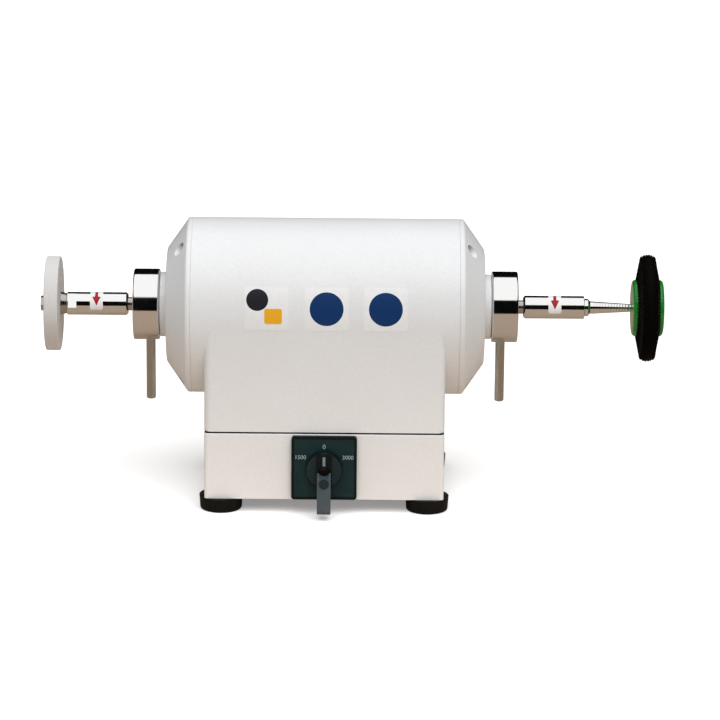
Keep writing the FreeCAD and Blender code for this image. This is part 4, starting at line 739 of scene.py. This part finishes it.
def add_brush_core(vertices, faces, centre_x, hub_radius, rim):
    """The tufts' packed inner part: a ring with one rib for each tuft, which overhangs the hub's rims."""
    steps = TUFT_COUNT * CORE_STEPS_PER_TUFT
    rings_of_side = [(1.0, reach) for reach in CORE_RADII] + list(CORE_CROWN)
    for side in (-1, 1):
        for share, reach in rings_of_side:
            half_width = brush_half_width(reach, hub_radius, rim) * share
            outside = reach > hub_radius
            for step in range(steps):
                turn = 2 * math.pi * step / steps
                overhang = (CORE_OVERHANG + CORE_RIB * math.cos(TUFT_COUNT * turn)) if outside else 0
                overhang *= share * (rim - reach) / (rim - hub_radius)
                x = centre_x + side * (half_width + overhang)
                vertices.append((x, AXIS.y + reach * math.cos(turn), AXIS.z + reach * math.sin(turn)))
    rings = len(rings_of_side)
    loops = list(range(rings)) + [rings + ring for ring in reversed(range(rings))]
    for first, second in zip(loops, loops[1:] + loops[:1]):
        here = first * steps
        there = second * steps
        for step in range(steps):
            after = (step + 1) % steps
            faces.append([here + step, here + after, there + after, there + step])


def add_bristle(vertices, faces, centre_x, turn, root, tip):
    """One tapered bristle from root to tip, each given as (along the spindle, round it, from its axis)."""
    first = len(vertices)
    for share in BRISTLE_STATIONS:
        along, side, reach = (start + (end - start) * share for start, end in zip(root, tip))
        thickness = BRISTLE_RADIUS * (1 - BRISTLE_TAPER * share)
        for corner in range(BRISTLE_SIDES):
            angle = 2 * math.pi * corner / BRISTLE_SIDES
            around = side + thickness * math.sin(angle)
            y = AXIS.y + reach * math.cos(turn) - around * math.sin(turn)
            z = AXIS.z + reach * math.sin(turn) + around * math.cos(turn)
            vertices.append((centre_x + along + thickness * math.cos(angle), y, z))
    for ring in range(len(BRISTLE_STATIONS) - 1):
        here = first + ring * BRISTLE_SIDES
        there = here + BRISTLE_SIDES
        for corner in range(BRISTLE_SIDES):
            after = (corner + 1) % BRISTLE_SIDES
            faces.append([here + corner, here + after, there + after, there + corner])
    top = first + (len(BRISTLE_STATIONS) - 1) * BRISTLE_SIDES
    faces.append([top + corner for corner in range(BRISTLE_SIDES)])
    faces.append([first + corner for corner in reversed(range(BRISTLE_SIDES))])


def make_bristles():
    """Rows of stiff tufts round a dense core, which lean together towards the brush's rim."""
    chance = random.Random(BRISTLE_SEED)
    low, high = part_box("brush_bristles")
    centre_x = (low.x + high.x) / 2
    rim = (high.z - low.z) / 2
    hub_low, hub_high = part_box("brush_hub")
    hub_radius = (hub_high.z - hub_low.z) / 2
    tip_share = BRUSH_TIP_HALF_WIDTH / BRUSH_HALF_WIDTH
    vertices = []
    faces = []
    add_brush_core(vertices, faces, centre_x, hub_radius, rim)
    for row, offset in enumerate(TUFT_ROWS):
        for tuft in range(TUFT_COUNT):
            turn = 2 * math.pi * (tuft + 0.5 * (row % 2)) / TUFT_COUNT
            for _ in range(BRISTLES_PER_TUFT):
                spot = chance.uniform(0, 2 * math.pi)
                away = TUFT_RADIUS * math.sqrt(chance.random())
                along = offset + away * math.cos(spot)
                around = away * math.sin(spot)
                tip_along = along * tip_share + chance.uniform(-TIP_SCATTER, TIP_SCATTER)
                tip_around = around * TUFT_SPREAD + chance.uniform(-2 * TIP_SCATTER, 2 * TIP_SCATTER)
                drop = CROWN_DROP * (tip_along / BRUSH_TIP_HALF_WIDTH) ** 2
                end = rim - abs(chance.gauss(0, TIP_SCATTER)) - drop
                root = (along, around, TUFT_START)
                tip = (tip_along, tip_around, end)
                add_bristle(vertices, faces, centre_x, turn, root, tip)
    piece = new_piece("bristle_tufts", vertices, faces, "black_bristle", "right_spindle", "black_bristle")
    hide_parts("brush_bristles")


def ray_paths(add, link):
    """The light path's node, and a value of 1 for rays that see things as the camera does."""
    paths = add("ShaderNodeLightPath")
    seen_plainly = add("ShaderNodeMath", operation="MAXIMUM")
    link(paths.outputs["Is Camera Ray"], seen_plainly.inputs[0])
    link(paths.outputs["Is Transmission Ray"], seen_plainly.inputs[1])
    return paths, seen_plainly.outputs[0]


def make_world():
    """White for the camera, an even light for matt surfaces, and a white ceiling in a dark room for metal."""
    world = bpy.data.worlds.new("studio")
    world.use_nodes = True
    tree = world.node_tree
    tree.nodes.clear()
    link = tree.links.new
    add = node_adder(tree)

    def background(colour, strength):
        node = add("ShaderNodeBackground")
        node.inputs["Color"].default_value = (*colour, 1)
        node.inputs["Strength"].default_value = strength
        return node.outputs[0]

    def mixed(factor, first, second):
        node = add("ShaderNodeMixShader")
        link(factor, node.inputs["Fac"])
        link(first, node.inputs[1])
        link(second, node.inputs[2])
        return node.outputs[0]

    paths, seen_plainly = ray_paths(add, link)
    direction = add("ShaderNodeTexCoord")
    height = add("ShaderNodeVectorMath", operation="DOT_PRODUCT")
    link(direction.outputs["Generated"], height.inputs[0])
    height.inputs[1].default_value = CEILING_NORMAL
    edge = add("ShaderNodeMapRange", interpolation_type="SMOOTHSTEP")
    link(height.outputs["Value"], edge.inputs["Value"])
    edge.inputs["From Min"].default_value = CEILING_EDGE - CEILING_BLUR
    edge.inputs["From Max"].default_value = CEILING_EDGE + CEILING_BLUR
    room = mixed(edge.outputs["Result"], background(ROOM_COLOUR, 1.0), background(WHITE, 1.0))
    light = mixed(paths.outputs["Is Glossy Ray"], background(WORLD_COLOUR, WORLD_STRENGTH), room)
    seen = mixed(seen_plainly, light, background(WHITE, 1.0))
    output = add("ShaderNodeOutputWorld")
    link(seen, output.inputs["Surface"])
    bpy.context.scene.world = world


def make_floor():
    """A white floor with the shadow on it. It throws warm light back, and metal sees a table top in it."""
    half = FLOOR_HALF
    mesh = bpy.data.meshes.new("floor")
    corners = [(-half, -half, 0), (half, -half, 0), (half, half, 0), (-half, half, 0)]
    mesh.from_pydata(corners, [], [[0, 1, 2, 3]])
    floor = bpy.data.objects.new("floor", mesh)
    bpy.context.scene.collection.objects.link(floor)
    finish = bpy.data.materials.new("floor")
    finish.use_nodes = True
    tree = finish.node_tree
    tree.nodes.clear()
    link = tree.links.new
    add = node_adder(tree)

    def matt(colour):
        node = add("ShaderNodeBsdfDiffuse")
        node.inputs["Color"].default_value = (*colour, 1)
        return node.outputs[0]

    def mixed(first, second):
        node = add("ShaderNodeMixShader")
        link(first, node.inputs[1])
        link(second, node.inputs[2])
        return node

    paths, seen_plainly = ray_paths(add, link)
    place = add("ShaderNodeTexCoord")
    distance = add("ShaderNodeVectorMath", operation="LENGTH")
    link(place.outputs["Object"], distance.inputs[0])

    def further(start, end):
        """Rises from 0 to 1 between two distances from the middle."""
        node = add("ShaderNodeMapRange")
        link(distance.outputs["Value"], node.inputs["Value"])
        node.inputs["From Min"].default_value = start
        node.inputs["From Max"].default_value = end
        return node.outputs["Result"]

    beyond = add("ShaderNodeMath", operation="MULTIPLY")
    link(further(*TABLE_FADE), beyond.inputs[0])
    link(paths.outputs["Is Glossy Ray"], beyond.inputs[1])
    glow = add("ShaderNodeEmission")
    glow.inputs["Color"].default_value = (*WHITE, 1)
    glow.inputs["Strength"].default_value = FLOOR_GLOW
    lifted = add("ShaderNodeAddShader")
    link(matt(FLOOR_COLOUR), lifted.inputs[0])
    link(glow.outputs[0], lifted.inputs[1])
    bounce = mixed(matt(BOUNCE_COLOUR), matt(FAR_BOUNCE_COLOUR))
    link(further(*BOUNCE_FADE), bounce.inputs["Fac"])
    table = mixed(bounce.outputs[0], matt(TABLE_COLOUR))
    link(paths.outputs["Is Glossy Ray"], table.inputs["Fac"])
    cut = mixed(table.outputs[0], matt(ROOM_COLOUR))
    link(beyond.outputs[0], cut.inputs["Fac"])
    seen = mixed(cut.outputs[0], lifted.outputs[0])
    link(seen_plainly, seen.inputs["Fac"])
    output = add("ShaderNodeOutputMaterial")
    link(seen.outputs[0], output.inputs["Surface"])
    mesh.materials.append(finish)


def make_lights():
    """One broad soft lamp from above the front, a little to the right."""
    data = bpy.data.lights.new("key", "SUN")
    data.energy = KEY_STRENGTH
    data.angle = KEY_ANGLE
    lamp = bpy.data.objects.new("key", data)
    bpy.context.scene.collection.objects.link(lamp)
    lamp.rotation_euler = Vector(KEY_DIRECTION).to_track_quat("Z", "Y").to_euler()
    lamp.visible_glossy = False


def make_camera():
    data = bpy.data.cameras.new("camera")
    data.sensor_width = SENSOR_WIDTH
    data.lens = LENS
    camera = bpy.data.objects.new("camera", data)
    bpy.context.scene.collection.objects.link(camera)
    low, high = CAD_BOX
    aim = Vector(((low.x + high.x) / 2, AXIS.y, (low.z + high.z) / 2 - CAMERA_DROP))
    back = Vector((0, -math.cos(CAMERA_ELEVATION), math.sin(CAMERA_ELEVATION)))
    camera.location = aim + back * CAMERA_DISTANCE
    turned = back.to_track_quat("Z", "Y").to_matrix().to_4x4()
    camera.rotation_euler = (turned.to_euler().x, CAMERA_ROLL, 0)
    bpy.context.scene.camera = camera


make_camera()
MATERIALS.update(make_materials())
dress_nodes()
dress_knob()
make_labels()
make_sleeve_labels()
make_switch_marks()
make_joint_shade_lip()
make_thread()
make_bristles()
make_world()
make_floor()
make_lights()
bpy.context.scene.view_settings.view_transform = "Standard"
